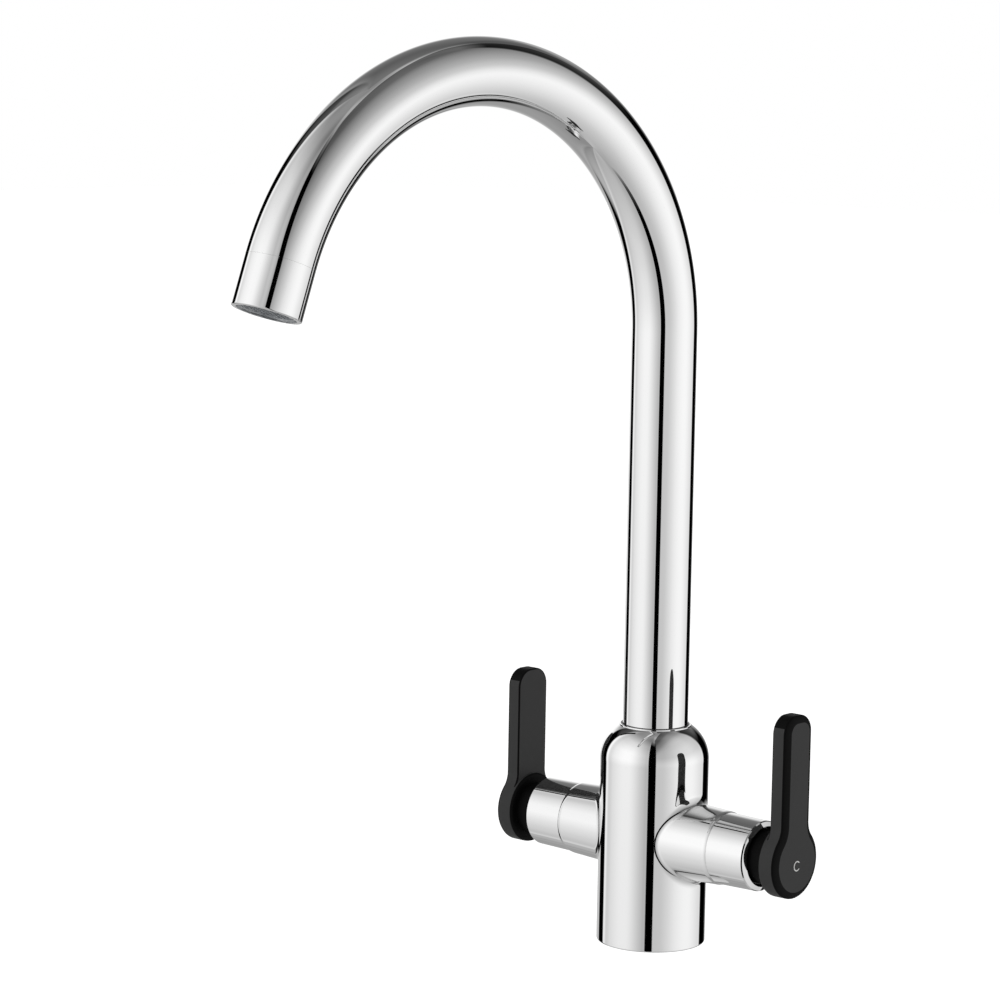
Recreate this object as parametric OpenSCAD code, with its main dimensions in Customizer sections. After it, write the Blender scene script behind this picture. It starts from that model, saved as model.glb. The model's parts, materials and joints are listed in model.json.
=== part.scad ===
// Deck-mounted kitchen mixer tap: one upright body with two side arms, a quarter-turn
// ceramic valve and a lever on each arm, and a swivelling swan-neck spout.
// Origin: centre of the body's base on the deck. +Z is up, the spout reaches towards -Y,
// the cold valve is on the +X arm and the hot valve on the -X arm.

/* [Body] */
// Diameter of the upright body
body_d = 46.8; // [44:0.2:54]
// Height of the body, deck to rim
body_h = 95.2; // [92:0.2:110]
// Radius of the shoulder's rounding
shoulder_r = 17.5; // [15:0.5:19]
// Diameter of the rim round the spout
rim_d = 31.2; // [31:0.1:34]
// Height of the rim's straight side above the shoulder
rim_h = 0.5; // [0.4:0.1:2]
// Rounding of the edge at the deck
base_round = 0.8; // [0.4:0.1:1.2]

/* [Base] */
// Diameter of the recess in the underside
recess_d = 35; // [33:0.5:36]
// Depth of the recess in the underside
recess_depth = 11; // [8:0.5:13]
// Distance between the two hose inlets
inlet_spacing = 16; // [15:0.5:17]
// How far the hose inlets stand in front of the centre
inlet_forward = 4.5; // [3.5:0.5:5]
// Tapping diameter of the hose inlets, for an M10 x 1 hose tail
inlet_d = 9; // [8.8:0.1:9.2]
// Length of each inlet's thread
inlet_thread_l = 12; // [9:0.5:14]
// Diameter of the waterway above each inlet's thread
waterway_d = 8; // [6:0.5:8.5]
// Tapping diameter of the fixing stud's hole, for an M8 stud
stud_d = 6.8; // [6.6:0.1:7]
// Depth of the fixing stud's hole
stud_l = 16; // [12:0.5:18]
// How far the fixing stud stands behind the centre
stud_back = 9.5; // [8:0.5:11]
// Width of the rubber seal under the body
seal_w = 2.2; // [1.6:0.1:2.6]
// Depth of the rubber seal's groove
seal_depth = 1.6; // [1:0.1:2.4]

/* [Arms] */
// Height of the arms' axis above the deck
arm_height = 47.1; // [45:0.1:50]
// Distance from the body's centre to each arm's end face
arm_reach = 41; // [40:0.5:48]
// Diameter that the arm's taper would have at the body's centre
arm_root_d = 35.2; // [34:0.1:37]
// Diameter of the arm at its end
arm_end_d = 31.7; // [31:0.1:33]
// Rounding of the arm's end edge
arm_round = 1; // [0.5:0.1:1.4]

/* [Sleeves] */
// Length of the sleeve over the valve
sleeve_l = 19.8; // [18:0.2:24]
// Sleeve diameter beside the arm
sleeve_in_d = 30.7; // [30:0.1:31.5]
// Sleeve diameter at the lever end
sleeve_out_d = 30; // [29.4:0.1:31]
// Bore of the sleeve
sleeve_bore_d = 25.8; // [25.6:0.1:26.6]
// Thickness of the sleeve's web, which is pressed onto the valve's neck
sleeve_web = 2.4; // [1.6:0.1:3.2]
// Open seam between arm and sleeve
sleeve_seam = 0.15; // [0.1:0.05:0.4]
// Chamfer round the sleeve's mouth
mouth_chamfer = 0.4; // [0.2:0.1:0.8]

/* [Valves] */
// Depth of the valve pocket from the arm's end face to the seat
valve_depth = 26; // [25:0.5:27]
// Bore of the valve pocket
pocket_d = 18.8; // [18.4:0.1:19.4]
// Outer diameter of the valve's thread
thread_d = 20.6; // [20.2:0.1:21]
// Length of the valve's thread
thread_l = 10; // [8:0.5:11]
// Diameter of the water chamber round the valve
chamber_d = 22.4; // [21.8:0.1:23.4]
// Length of the water chamber
chamber_l = 4.4; // [3:0.2:4.6]
// How far the water chamber starts before the driver
chamber_lead = 1; // [0.6:0.1:1.4]
// Width of the valve's hexagon across its flats
hex_flats = 21.8; // [21:0.1:22]
// Thickness of the valve's hexagon
hex_l = 4; // [3:0.2:5]
// Diameter of the valve's neck
valve_neck_d = 16; // [15:0.2:17.4]
// Length of the valve's neck beyond the hexagon
valve_neck_l = 10; // [7:0.5:10]
// Bore of the valve's cage
cage_bore_d = 15.2; // [14.8:0.1:15.6]
// Space between the valve's cage and the floor of its pocket
cage_lift = 0.6; // [0.4:0.1:1]
// Width of the two ports in the cage's sides
port_w = 11.2; // [9:0.2:12]
// Thickness of each ceramic disc
disc_t = 2.5; // [2:0.1:2.7]
// Outer radius of the water windows through the discs
window_r = 5.6; // [5:0.1:5.8]
// Inner radius of the water windows through the discs
window_core_r = 1.6; // [1.2:0.1:2]
// Angle that each disc window spans
window_angle = 80; // [60:1:84]
// Radial play of the ceramic discs in the cage
disc_play = 0.2; // [0.1:0.05:0.3]
// Width of the fixed disc's two keys
key_w = 2; // [1.6:0.1:2.6]
// Length of the fixed disc's keys beyond the cage's bore
key_l = 0.9; // [0.6:0.1:1.2]
// Width of the two tangs that turn the moving disc
tang_w = 2.4; // [2:0.1:3]
// Length of the tangs inside the moving disc
tang_l = 1.2; // [0.8:0.1:1.6]
// Depth of the moving disc's slots for the tangs
slot_depth = 1.6; // [1.2:0.1:2]
// Radius of the core between the driver's two lobes
driver_core_r = 3; // [2.4:0.1:3.4]
// Thickness of the rubber seat seal
seat_seal_t = 3; // [2.4:0.1:3.2]
// Diameter of the waterway through the valve seat
seat_bore_d = 9; // [8:0.2:10]
// Diameter of the spindle
spindle_d = 8; // [7.6:0.1:8.4]
// Diameter of the spindle's stop collar
stop_collar_d = 11; // [10.4:0.1:11.6]
// Thickness of the spindle's stop collar
stop_t = 2.5; // [2:0.1:3]
// Angle that the spindle's stop lug spans
stop_lug_angle = 60; // [40:1:80]
// Angle left free beyond the travel at each stop
stop_clear = 1; // [0.5:0.5:2]
// Number of splines on the spindle
spline_count = 20; // [16:1:24]
// Height of each spline
spline_h = 0.4; // [0.3:0.05:0.5]
// Thickness of the spindle's retaining clip
clip_t = 0.9; // [0.7:0.1:1.1]
// Outer diameter of the retaining clip
clip_d = 13; // [12:0.2:14]
// Angle of the retaining clip's opening
clip_opening = 110; // [100:5:140]
// Depth of the retaining clip's groove
clip_groove_depth = 0.8; // [0.5:0.1:1]
// Cross-section diameter of the spindle's O-rings
o_ring_t = 1.3; // [1:0.1:1.5]
// Distance between the spindle's O-rings
o_ring_pitch = 6; // [5:0.5:7]

/* [Levers] */
// Angle that a lever turns from closed to open
lever_travel = 90; // [80:1:95]
// Space between the sleeve's mouth and the back of the blade
lever_gap = 8.9; // [8:0.1:11]
// Thickness of the lever's blade
lever_t = 7.7; // [7.2:0.1:9]
// Bevel round the lever's outer face
lever_bevel = 2.35; // [1.6:0.05:2.8]
// Diameter of the lever's round base
lever_disc_d = 30.8; // [29:0.1:33]
// How far the round base stands behind the blade
lever_disc_back = 1.6; // [1.5:0.1:2.4]
// Rounding of the round base's rear edge
lever_disc_round = 1.5; // [0.8:0.1:1.5]
// Width of the blade
blade_w = 18.4; // [17:0.2:20]
// Height of the blade's tip above the arm's axis
blade_tip = 62.5; // [54:0.5:72]
// Corner radius of the blade's tip
blade_corner = 7.6; // [6:0.1:8.2]
// Radius of the sweep between blade and round base
blade_sweep = 9.5; // [7:0.5:12]
// Diameter of the lever's hub
hub_d = 22.8; // [22:0.1:23.6]
// How far the hub reaches into the sleeve
hub_inset = 3.4; // [2.6:0.1:3.6]
// Wall left between the lever's socket and its outer face
lever_wall = 9.2; // [8.6:0.1:9.6]
// Width across the flats of the spline bush
bush_flats = 13.4; // [13:0.1:14]
// Diameter of the lever's grub screw
lever_screw_d = 4; // [3.4:0.1:4.4]
// Length of the grub screw's narrower tip
lever_screw_tip = 0.8; // [0.5:0.1:1.2]
// How far the grub screw lies below the hub's surface
lever_screw_sink = 0.6; // [0.3:0.1:1]
// Height of the temperature letters
letter_h = 4.4; // [3.6:0.1:6]
// Width of the letter H
letter_w = 3.2; // [2.6:0.1:4.4]
// Angle of the letter C's opening
letter_opening = 80; // [60:5:100]
// Stroke width of the temperature letters
letter_stroke = 0.5; // [0.4:0.05:0.8]
// How far the letters stand below the arm's axis
letter_drop = 1.2; // [0:0.1:2]
// Depth of the letters' inlay
letter_depth = 0.4; // [0.3:0.05:0.6]

/* [Spout] */
// Outer diameter of the spout tube
tube_d = 28; // [27.4:0.1:29]
// Wall of the spout tube
tube_wall = 1.1; // [0.9:0.1:1.4]
// Radius of the swan neck's centre line
bend_r = 108.4; // [95:0.2:120]
// Angle that the swan neck bends through
bend_angle = 160.9; // [150:0.1:175]
// Height of the swan neck's centre above the deck
bend_h = 264; // [230:1:300]
// Angle that the spout stands turned towards the hot side
spout_turn = 4.9; // [0:0.1:10]
// Length of the straight outlet piece
outlet_l = 20.4; // [18.4:0.2:26]
// Depth of the outlet piece's plug inside the tube
outlet_plug = 6; // [4:0.5:8]
// V-groove at the seam between tube and outlet piece
outlet_groove = 0.15; // [0.1:0.05:0.3]
// Rounding of the outlet's rim
outlet_round = 0.5; // [0.3:0.05:0.6]

/* [Spout joint] */
// Bore of the spout's socket in the body
socket_d = 24; // [23:0.1:24.4]
// Depth of the socket
socket_depth = 34; // [32:0.5:35]
// Outer diameter of the upper glide ring
glide_d = 29.6; // [29.4:0.1:30]
// Thickness of the upper glide ring
glide_t = 2.4; // [2:0.1:3.2]
// Thickness of the lower glide ring
foot_ring_t = 1.6; // [1.2:0.1:2.2]
// Waterway through the spigot
spigot_bore_d = 17; // [15:0.2:17.4]
// Length of the spigot inside the tube
spigot_plug = 14; // [8:0.5:20]
// Cross-section diameter of the spout's O-rings
spout_ring_t = 2; // [1.6:0.1:2.2]
// Distance of each spout O-ring from its end of the spigot
spout_ring_inset = 5; // [4:0.5:7]
// Diameter of the screw that keeps the spout in its socket
spout_screw_d = 5; // [4.6:0.1:5.4]
// Diameter of the keeping screw's tip
keep_tip_d = 4; // [3.4:0.1:4.2]
// How far the keeping screw lies below the body's surface
keep_sink = 1; // [0.6:0.1:1.4]
// Depth of the keeping groove in the spigot
keep_depth = 1.4; // [1:0.1:1.6]
// Diameter of the two water drillings to the socket
drilling_d = 5; // [4:0.2:5.6]
// How far from the centre the drillings meet the socket's floor
drilling_end = 6; // [5:0.2:7]

/* [Aerator] */
// Outer diameter of the aerator, for an M24 thread
aerator_d = 24; // [23.6:0.1:24.4]
// Wall of the aerator's housing
aerator_wall = 1.3; // [1:0.1:1.6]
// Length of the aerator's housing
aerator_l = 9; // [8:0.2:10]
// How far the aerator is set back from the rim
aerator_setback = 1; // [0.6:0.1:2]
// Thickness of the outlet grille
grille_t = 1.6; // [1.2:0.1:2]
// How far the grille lies inside the housing's end
grille_sink = 0.2; // [0.1:0.1:0.5]
// Width across the flats of the grille's hexagonal cells
cell_w = 2; // [1.8:0.1:2.2]
// Thickness of the ribs between the cells
cell_rib = 0.5; // [0.4:0.1:0.8]
// Thickness of each wire screen
screen_t = 0.4; // [0.3:0.1:0.5]
// Side of the square openings in the wire screens
screen_cell = 1.4; // [1.2:0.1:1.8]
// Number of wire screens
screen_count = 2; // [1:1:2]
// Thickness of the aerator's washer
washer_t = 1.8; // [1.4:0.1:2.2]
// Width of the ledge that the washer covers beyond the housing's wall
washer_ledge = 1.2; // [0.8:0.1:1.6]

/* [Fits] */
// Radial clearance of turning fits
run_gap = 0.05; // [0.02:0.01:0.08]
// Radial clearance between assembled pieces that don't move
seat_gap = 0.02; // [0.01:0.01:0.05]
// Space between end faces that slide past each other
face_gap = 0.1; // [0.05:0.05:0.2]

/* [Hidden] */
$fn = 96;

COLD = 1;
HOT = -1;
EPS = 0.5;        // how far a cutting shape overshoots the face it opens

// Body
body_r = body_d / 2;
rim_r = rim_d / 2;
recess_r = recess_d / 2;
shoulder_rise = sqrt(pow(shoulder_r, 2) - pow(shoulder_r - (body_r - rim_r), 2));
shoulder_z = body_h - rim_h - shoulder_rise;
seal_r = (recess_r + body_r - base_round) / 2;

// Spout joint
socket_r = socket_d / 2;
socket_z = body_h - socket_depth;
tube_r = tube_d / 2;
tube_bore_r = tube_r - tube_wall;
glide_seat_z = body_h - glide_t;
tube_z = body_h + 2 * face_gap;
spigot_r = socket_r - run_gap;
spigot_z = socket_z + foot_ring_t + face_gap;
spout_ring_groove_r = spigot_r - spout_ring_t - seat_gap;
spout_ring_zs = [spigot_z + spout_ring_inset, glide_seat_z - spout_ring_inset];
keep_z = (spout_ring_zs[0] + spout_ring_zs[1]) / 2;
keep_w = keep_tip_d + 2 * face_gap;

// Arms and valves: distances from the body's centre along the arm
seat_x = arm_reach - valve_depth;
pocket_r = pocket_d / 2;
thread_x = arm_reach - thread_l;
hex_end_x = arm_reach + hex_l;
neck_end_x = hex_end_x + valve_neck_l;
cage_x = seat_x + cage_lift;
cage_bore_r = cage_bore_d / 2;
seal_end_x = seat_x + seat_seal_t;
fixed_x = seal_end_x + face_gap / 2;
fixed_end_x = fixed_x + disc_t;
moving_x = fixed_end_x + face_gap / 2;
moving_end_x = moving_x + disc_t;
driver_x = moving_end_x + face_gap;
stop_x = thread_x - stop_t - 2 * face_gap;
chamber_x = driver_x - chamber_lead;
disc_r = cage_bore_r - disc_play;
key_r = cage_bore_r + key_l;
spindle_r = spindle_d / 2;
neck_bore_r = spindle_r + run_gap;
o_ring_groove_r = spindle_r - o_ring_t - seat_gap;
o_ring_xs = [arm_reach - o_ring_pitch / 2, arm_reach + o_ring_pitch / 2];
clip_x = neck_end_x + face_gap;
clip_groove_r = spindle_r - clip_groove_depth;
stop_pocket_r = disc_r;

// Sleeves and levers
sleeve_x = arm_reach + sleeve_seam;
sleeve_end_x = sleeve_x + sleeve_l;
sleeve_bore_r = sleeve_bore_d / 2;
blade_x = sleeve_end_x + lever_gap;
lever_face_x = blade_x + lever_t;
band_l = lever_t - lever_bevel;
lever_disc_r = lever_disc_d / 2;
lever_disc_x = blade_x - lever_disc_back;
hub_x = sleeve_end_x - hub_inset;
hub_r = hub_d / 2;
socket_end_x = lever_face_x - lever_wall;
bush_r = bush_flats / sqrt(3);
spindle_end_x = socket_end_x - 2 * face_gap;
spline_x = hub_x - 4 * face_gap;
lever_screw_x = (sleeve_end_x + lever_disc_x) / 2;
screw_tip_r = spindle_r + face_gap;
letter_r = letter_h / 2;

// Outlet: distances from the seam along the flow
outlet_r = tube_r;
plug_r = sqrt(pow(bend_r + tube_bore_r - seat_gap, 2) - pow(outlet_plug, 2)) - bend_r;
aerator_r = aerator_d / 2;
aerator_end = outlet_l - aerator_setback;
aerator_start = aerator_end - aerator_l;
washer_start = aerator_start - washer_t;
aerator_bore_r = aerator_r - aerator_wall;
outlet_bore_r = aerator_bore_r - washer_ledge;
grille_start = aerator_end - grille_sink - grille_t;

// ---------------------------------------------------------------- placing

// Puts a side's pieces in place: built for the cold arm, mirrored for the hot one.
module on_side(side) {
    if (side == HOT) mirror([1, 0, 0]) children();
    else children();
}

// Arm frame: local z runs out along the cold arm, local x is world Y, local y is world Z.
module along_arm(x = 0) {
    translate([x, 0, arm_height]) rotate([90, 0, 90]) children();
}

// Turns the whole spout about the body's axis.
module spout_frame() {
    rotate([0, 0, -spout_turn]) children();
}

// Outlet frame: the origin is on the seam and local z is the flow's direction.
module at_outlet() {
    spout_frame()
        translate([0, bend_r * (cos(bend_angle) - 1), bend_h + bend_r * sin(bend_angle)])
            rotate([bend_angle, 0, 0])
                children();
}

// ---------------------------------------------------------------- shared shapes

module ring(r_out, r_in, h) {
    difference() {
        cylinder(r = r_out, h = h);
        translate([0, 0, -EPS]) cylinder(r = r_in, h = h + 2 * EPS);
    }
}

module o_ring(r_in, thickness) {
    rotate_extrude()
        translate([r_in + thickness / 2, 0]) circle(d = thickness, $fn = 32);
}

// Flat wedge of a circle, centred on the angle "middle".
module sector(r, angle, middle) {
    intersection() {
        circle(r = r);
        rotate(middle - angle / 2)
            polygon(concat([[0, 0]],
                [for (i = [0 : 4]) 2 * r * [cos(angle * i / 4), sin(angle * i / 4)]]));
    }
}

// The pair of opposite water windows that the ceramic discs and the driver share.
module windows(middle, r_out = window_r, r_in = window_core_r) {
    for (turn = [0, 180])
        difference() {
            sector(r_out, window_angle, middle + turn);
            circle(r = r_in);
        }
}

// Flat bar across the valve's axis, twice half_w wide, with its length along local y.
module key_bar(half_w, reach, h) {
    translate([-half_w, -reach, 0]) cube([2 * half_w, 2 * reach, h]);
}

module splined(r, h) {
    step = 180 / spline_count;
    linear_extrude(height = h)
        polygon([for (i = [0 : 2 * spline_count - 1])
            (i % 2 == 0 ? r : r - spline_h) * [cos(i * step), sin(i * step)]]);
}

module hexagon(flats, h) {
    cylinder(r = flats / sqrt(3), h = h, $fn = 6);
}

// Grub screw along local z from 0 (the tip) to length l, with a hexagonal key socket.
module grub_screw(d, tip_d, tip_l, l, key_flats) {
    difference() {
        union() {
            cylinder(d = tip_d, h = l);
            translate([0, 0, tip_l]) cylinder(d = d, h = l - tip_l);
        }
        translate([0, 0, l - d / 2]) hexagon(key_flats, d);
    }
}

// ---------------------------------------------------------------- body

module body_profile() {
    translate([body_r - base_round, base_round]) circle(r = base_round, $fn = 48);
    square([body_r - base_round, shoulder_z]);
    translate([0, base_round]) square([body_r, shoulder_z - base_round]);
    intersection() {
        translate([body_r - shoulder_r, shoulder_z]) circle(r = shoulder_r);
        translate([0, shoulder_z]) square([body_r, shoulder_rise]);
    }
    translate([0, shoulder_z]) square([rim_r, body_h - shoulder_z]);
}

module arm_profile() {
    translate([arm_end_d / 2 - arm_round, arm_reach - arm_round]) circle(r = arm_round, $fn = 48);
    polygon([
        [0, 0], [arm_root_d / 2, 0], [arm_end_d / 2, arm_reach - arm_round],
        [arm_end_d / 2 - arm_round, arm_reach - arm_round],
        [arm_end_d / 2 - arm_round, arm_reach], [0, arm_reach]
    ]);
}

// Everything that is bored into one arm from its end face.
module valve_pocket() {
    along_arm(seat_x) cylinder(r = pocket_r, h = valve_depth + EPS);
    along_arm(thread_x) cylinder(d = thread_d, h = thread_l + EPS);
    along_arm(chamber_x) cylinder(d = chamber_d, h = chamber_l);
    along_arm(inlet_spacing / 2) cylinder(d = seat_bore_d, h = seat_x - inlet_spacing / 2 + EPS);
}

// Threaded hose inlet and the waterway from it up to the valve seat.
module inlet() {
    translate([inlet_spacing / 2, -inlet_forward, 0]) {
        cylinder(d = inlet_d, h = recess_depth + inlet_thread_l);
        cylinder(d = waterway_d, h = arm_height);
    }
}

// Slanting drilling from the water chamber up into the spout's socket.
module drilling() {
    chamber_mid_x = chamber_x + chamber_l / 2;
    start_z = arm_height + pocket_r - drilling_d / 2;
    rise = socket_z - start_z;
    run = chamber_mid_x - drilling_end;
    translate([chamber_mid_x, 0, start_z])
        rotate([0, -atan2(run, rise), 0])
            cylinder(d = drilling_d, h = sqrt(rise * rise + run * run) + drilling_d / 2);
}

module tap_body() {
    color("#d9dbdd") difference() {
        union() {
            rotate_extrude() body_profile();
            for (side = [HOT, COLD])
                on_side(side) along_arm() rotate_extrude() arm_profile();
        }
        translate([0, 0, -EPS]) cylinder(r = recess_r, h = recess_depth + EPS);
        translate([0, 0, -EPS]) ring(seal_r + seal_w / 2, seal_r - seal_w / 2, seal_depth + EPS);
        translate([0, stud_back, 0]) cylinder(d = stud_d, h = recess_depth + stud_l);
        translate([0, 0, socket_z]) cylinder(r = socket_r, h = socket_depth + EPS);
        translate([0, 0, glide_seat_z]) cylinder(d = glide_d, h = glide_t + EPS);
        translate([0, 0, keep_z]) rotate([-90, 0, 0]) cylinder(d = spout_screw_d, h = body_r + EPS);
        for (side = [HOT, COLD])
            on_side(side) {
                valve_pocket();
                inlet();
                drilling();
            }
    }
}

module base_seal() {
    color("#1c1c1c")
        ring(seal_r + seal_w / 2 - seat_gap, seal_r - seal_w / 2 + seat_gap, seal_depth);
}

// ---------------------------------------------------------------- spout joint

module upper_glide_ring() {
    color("#1e1e1f") translate([0, 0, glide_seat_z])
        ring(glide_d / 2 - seat_gap, spigot_r + run_gap, glide_t + face_gap);
}

module lower_glide_ring() {
    color("#1e1e1f") translate([0, 0, socket_z])
        ring(socket_r - seat_gap, spigot_bore_d / 2, foot_ring_t);
}

module spout_keeping_screw() {
    tip_y = spigot_r - keep_depth + face_gap;
    color("#8d9094") translate([0, tip_y, keep_z]) rotate([-90, 0, 0])
        grub_screw(spout_screw_d - 2 * seat_gap, keep_tip_d, socket_r - tip_y + face_gap,
            body_r - tip_y - keep_sink, spout_screw_d / 2);
}

module spout_spigot() {
    color("#c8a04c") spout_frame() difference() {
        union() {
            translate([0, 0, spigot_z]) cylinder(r = spigot_r, h = tube_z - spigot_z);
            translate([0, 0, tube_z]) cylinder(r = tube_bore_r - seat_gap, h = spigot_plug);
        }
        translate([0, 0, spigot_z - EPS])
            cylinder(d = spigot_bore_d, h = tube_z + spigot_plug - spigot_z + 2 * EPS);
        for (z = spout_ring_zs)
            translate([0, 0, z - spout_ring_t / 2 - face_gap])
                ring(spigot_r + EPS, spout_ring_groove_r, spout_ring_t + 2 * face_gap);
        translate([0, 0, keep_z - keep_w / 2]) ring(spigot_r + EPS, spigot_r - keep_depth, keep_w);
    }
}

module spout_o_rings() {
    color("#1c1c1c") spout_frame()
        for (z = spout_ring_zs)
            translate([0, 0, z]) o_ring(spout_ring_groove_r + seat_gap, spout_ring_t);
}

// ---------------------------------------------------------------- spout

// Solid swan neck of radius r: the straight riser and the bend.
module swan_neck(r) {
    translate([0, 0, tube_z]) cylinder(r = r, h = bend_h - tube_z);
    translate([0, -bend_r, bend_h]) rotate([90, 0, 90])
        rotate_extrude(angle = bend_angle) translate([bend_r, 0]) circle(r = r);
}

module spout_tube() {
    color("#d9dbdd") spout_frame() difference() {
        swan_neck(tube_r);
        swan_neck(tube_bore_r);
    }
}

module outlet_piece() {
    g = outlet_groove;
    w = outlet_round;
    color("#d9dbdd") at_outlet() rotate_extrude() {
        difference() {
            union() {
                polygon([
                    [0, 0], [outlet_r - g, 0], [outlet_r, g], [outlet_r, outlet_l - w],
                    [outlet_r - w, outlet_l - w], [outlet_r - w, outlet_l], [0, outlet_l]
                ]);
                translate([outlet_r - w, outlet_l - w]) circle(r = w, $fn = 48);
                translate([0, -outlet_plug]) square([plug_r, outlet_plug]);
            }
            translate([0, -outlet_plug - EPS])
                square([outlet_bore_r, outlet_plug + outlet_l + 2 * EPS]);
            translate([0, washer_start]) square([aerator_r, outlet_l - washer_start + EPS]);
        }
    }
}

// ---------------------------------------------------------------- aerator

module aerator_housing() {
    color("#9aa0a5") at_outlet() translate([0, 0, aerator_start])
        ring(aerator_r - seat_gap, aerator_bore_r, aerator_l);
}

// Outlet grille with hexagonal cells, held in the mouth of the housing.
module aerator_grille() {
    pitch = cell_w + cell_rib;
    grille_r = aerator_bore_r - seat_gap;
    rows = ceil(grille_r / pitch);
    color("#8f9499") at_outlet() translate([0, 0, grille_start]) difference() {
        cylinder(r = grille_r, h = grille_t);
        translate([0, 0, -EPS])
            for (row = [-rows : rows], column = [-rows : rows]) {
                x = pitch * (column + (abs(row) % 2) / 2);
                y = pitch * row * sqrt(3) / 2;
                if (sqrt(x * x + y * y) + cell_w / 2 < grille_r - cell_rib)
                    translate([x, y, 0]) rotate(30) hexagon(cell_w, grille_t + 2 * EPS);
            }
    }
}

// Square-mesh wire screens, spread along the housing behind the grille.
module aerator_screens() {
    pitch = screen_cell + screen_t;
    screen_r = aerator_bore_r - seat_gap;
    rows = ceil(screen_r / pitch);
    spacing = (grille_start - aerator_start) / screen_count;
    color("#b9bdc1") at_outlet()
        for (level = [0 : screen_count - 1])
            translate([0, 0, aerator_start + spacing * (level + 0.5)]) difference() {
                cylinder(r = screen_r, h = screen_t);
                translate([0, 0, -EPS])
                    for (row = [-rows : rows], column = [-rows : rows])
                        if (pitch * (sqrt(row * row + column * column) + sqrt(0.5)) < screen_r)
                            translate([pitch * column - screen_cell / 2,
                                       pitch * row - screen_cell / 2, 0])
                                cube([screen_cell, screen_cell, screen_t + 2 * EPS]);
            }
}

module aerator_washer() {
    color("#1c1c1c") at_outlet() translate([0, 0, washer_start])
        ring(aerator_r - seat_gap, outlet_bore_r, washer_t);
}

// ---------------------------------------------------------------- valves

// Outer shape and bores of the valve's housing, about the arm's axis.
module valve_housing(side) {
    port_x = driver_x + 2 * face_gap;
    color("#c8a04c") on_side(side) difference() {
        union() {
            along_arm(cage_x) cylinder(r = pocket_r - seat_gap, h = thread_x - cage_x);
            along_arm(thread_x) cylinder(r = thread_d / 2 - seat_gap, h = thread_l);
            along_arm(arm_reach) hexagon(hex_flats, hex_l);
            along_arm(hex_end_x) cylinder(d = valve_neck_d, h = valve_neck_l);
        }
        along_arm(cage_x - EPS) cylinder(r = cage_bore_r, h = stop_x - cage_x + EPS);
        along_arm(stop_x - EPS) cylinder(r = stop_collar_d / 2 + run_gap, h = thread_x - stop_x + EPS);
        along_arm(stop_x - EPS) linear_extrude(height = thread_x - stop_x + EPS)
            sector(stop_pocket_r, lever_travel + stop_lug_angle + 2 * stop_clear, 90 + lever_travel / 2);
        along_arm(thread_x - EPS) cylinder(r = neck_bore_r, h = neck_end_x - thread_x + 2 * EPS);
        along_arm(cage_x - EPS) key_bar(key_w / 2 + seat_gap, pocket_r + EPS, fixed_end_x - cage_x + EPS);
        along_arm(port_x) rotate(90)
            key_bar(port_w / 2, pocket_r + EPS, stop_x - port_x - 2 * face_gap);
    }
}

module seat_seal(side) {
    color("#1c1c1c") on_side(side) along_arm(seat_x)
        ring(cage_bore_r - seat_gap, window_r + face_gap, seat_seal_t);
}

module fixed_disc(side) {
    color("#f4f4f0") on_side(side) along_arm(fixed_x) linear_extrude(height = disc_t)
        difference() {
            union() {
                circle(r = disc_r);
                translate([-key_w / 2, -key_r]) square([key_w, 2 * key_r]);
            }
            windows(0);
        }
}

module moving_disc(side) {
    color("#f4f4f0") on_side(side) along_arm(moving_x) linear_extrude(height = disc_t)
        difference() {
            circle(r = disc_r);
            windows(90);
            for (end = [-1, 1])
                translate([end * disc_r, 0])
                    square([2 * slot_depth, tang_w + 2 * face_gap], center = true);
        }
}

// Spindle with the two-lobed driver, its tangs, the stop collar and lug, and the splined end.
module spindle(side) {
    driver_l = stop_x - face_gap - driver_x;
    color("#c8a04c") on_side(side) difference() {
        union() {
            along_arm(driver_x) linear_extrude(height = driver_l) difference() {
                circle(r = disc_r);
                windows(90, disc_r + EPS, driver_core_r);
            }
            along_arm(driver_x - tang_l) linear_extrude(height = driver_l + tang_l)
                for (end = [-1, 1])
                    intersection() {
                        circle(r = disc_r);
                        translate([end * (disc_r - slot_depth / 2 + face_gap), 0])
                            square([slot_depth - 2 * face_gap, tang_w], center = true);
                    }
            along_arm(stop_x - EPS) cylinder(d = stop_collar_d, h = thread_x - stop_x + EPS - face_gap);
            along_arm(stop_x) linear_extrude(height = thread_x - stop_x - face_gap)
                sector(stop_pocket_r - run_gap, stop_lug_angle, 90);
            along_arm(stop_x) cylinder(r = spindle_r, h = spline_x - stop_x);
            along_arm(spline_x - EPS) splined(spindle_r - seat_gap, spindle_end_x - spline_x + EPS);
        }
        for (x = o_ring_xs)
            along_arm(x - o_ring_t / 2 - face_gap)
                ring(spindle_r + EPS, o_ring_groove_r, o_ring_t + 2 * face_gap);
        along_arm(clip_x - face_gap / 2) ring(spindle_r + EPS, clip_groove_r, clip_t + face_gap);
    }
}

module spindle_o_rings(side) {
    color("#1c1c1c") on_side(side)
        for (x = o_ring_xs)
            along_arm(x) o_ring(o_ring_groove_r + seat_gap, o_ring_t);
}

// Open retaining clip, snapped into the spindle's groove beyond the housing's neck.
module spindle_clip(side) {
    color("#8d9094") on_side(side) along_arm(clip_x) linear_extrude(height = clip_t)
        difference() {
            circle(d = clip_d);
            circle(r = clip_groove_r + seat_gap);
            sector(clip_d, clip_opening, 90);
        }
}

// ---------------------------------------------------------------- sleeves

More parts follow.
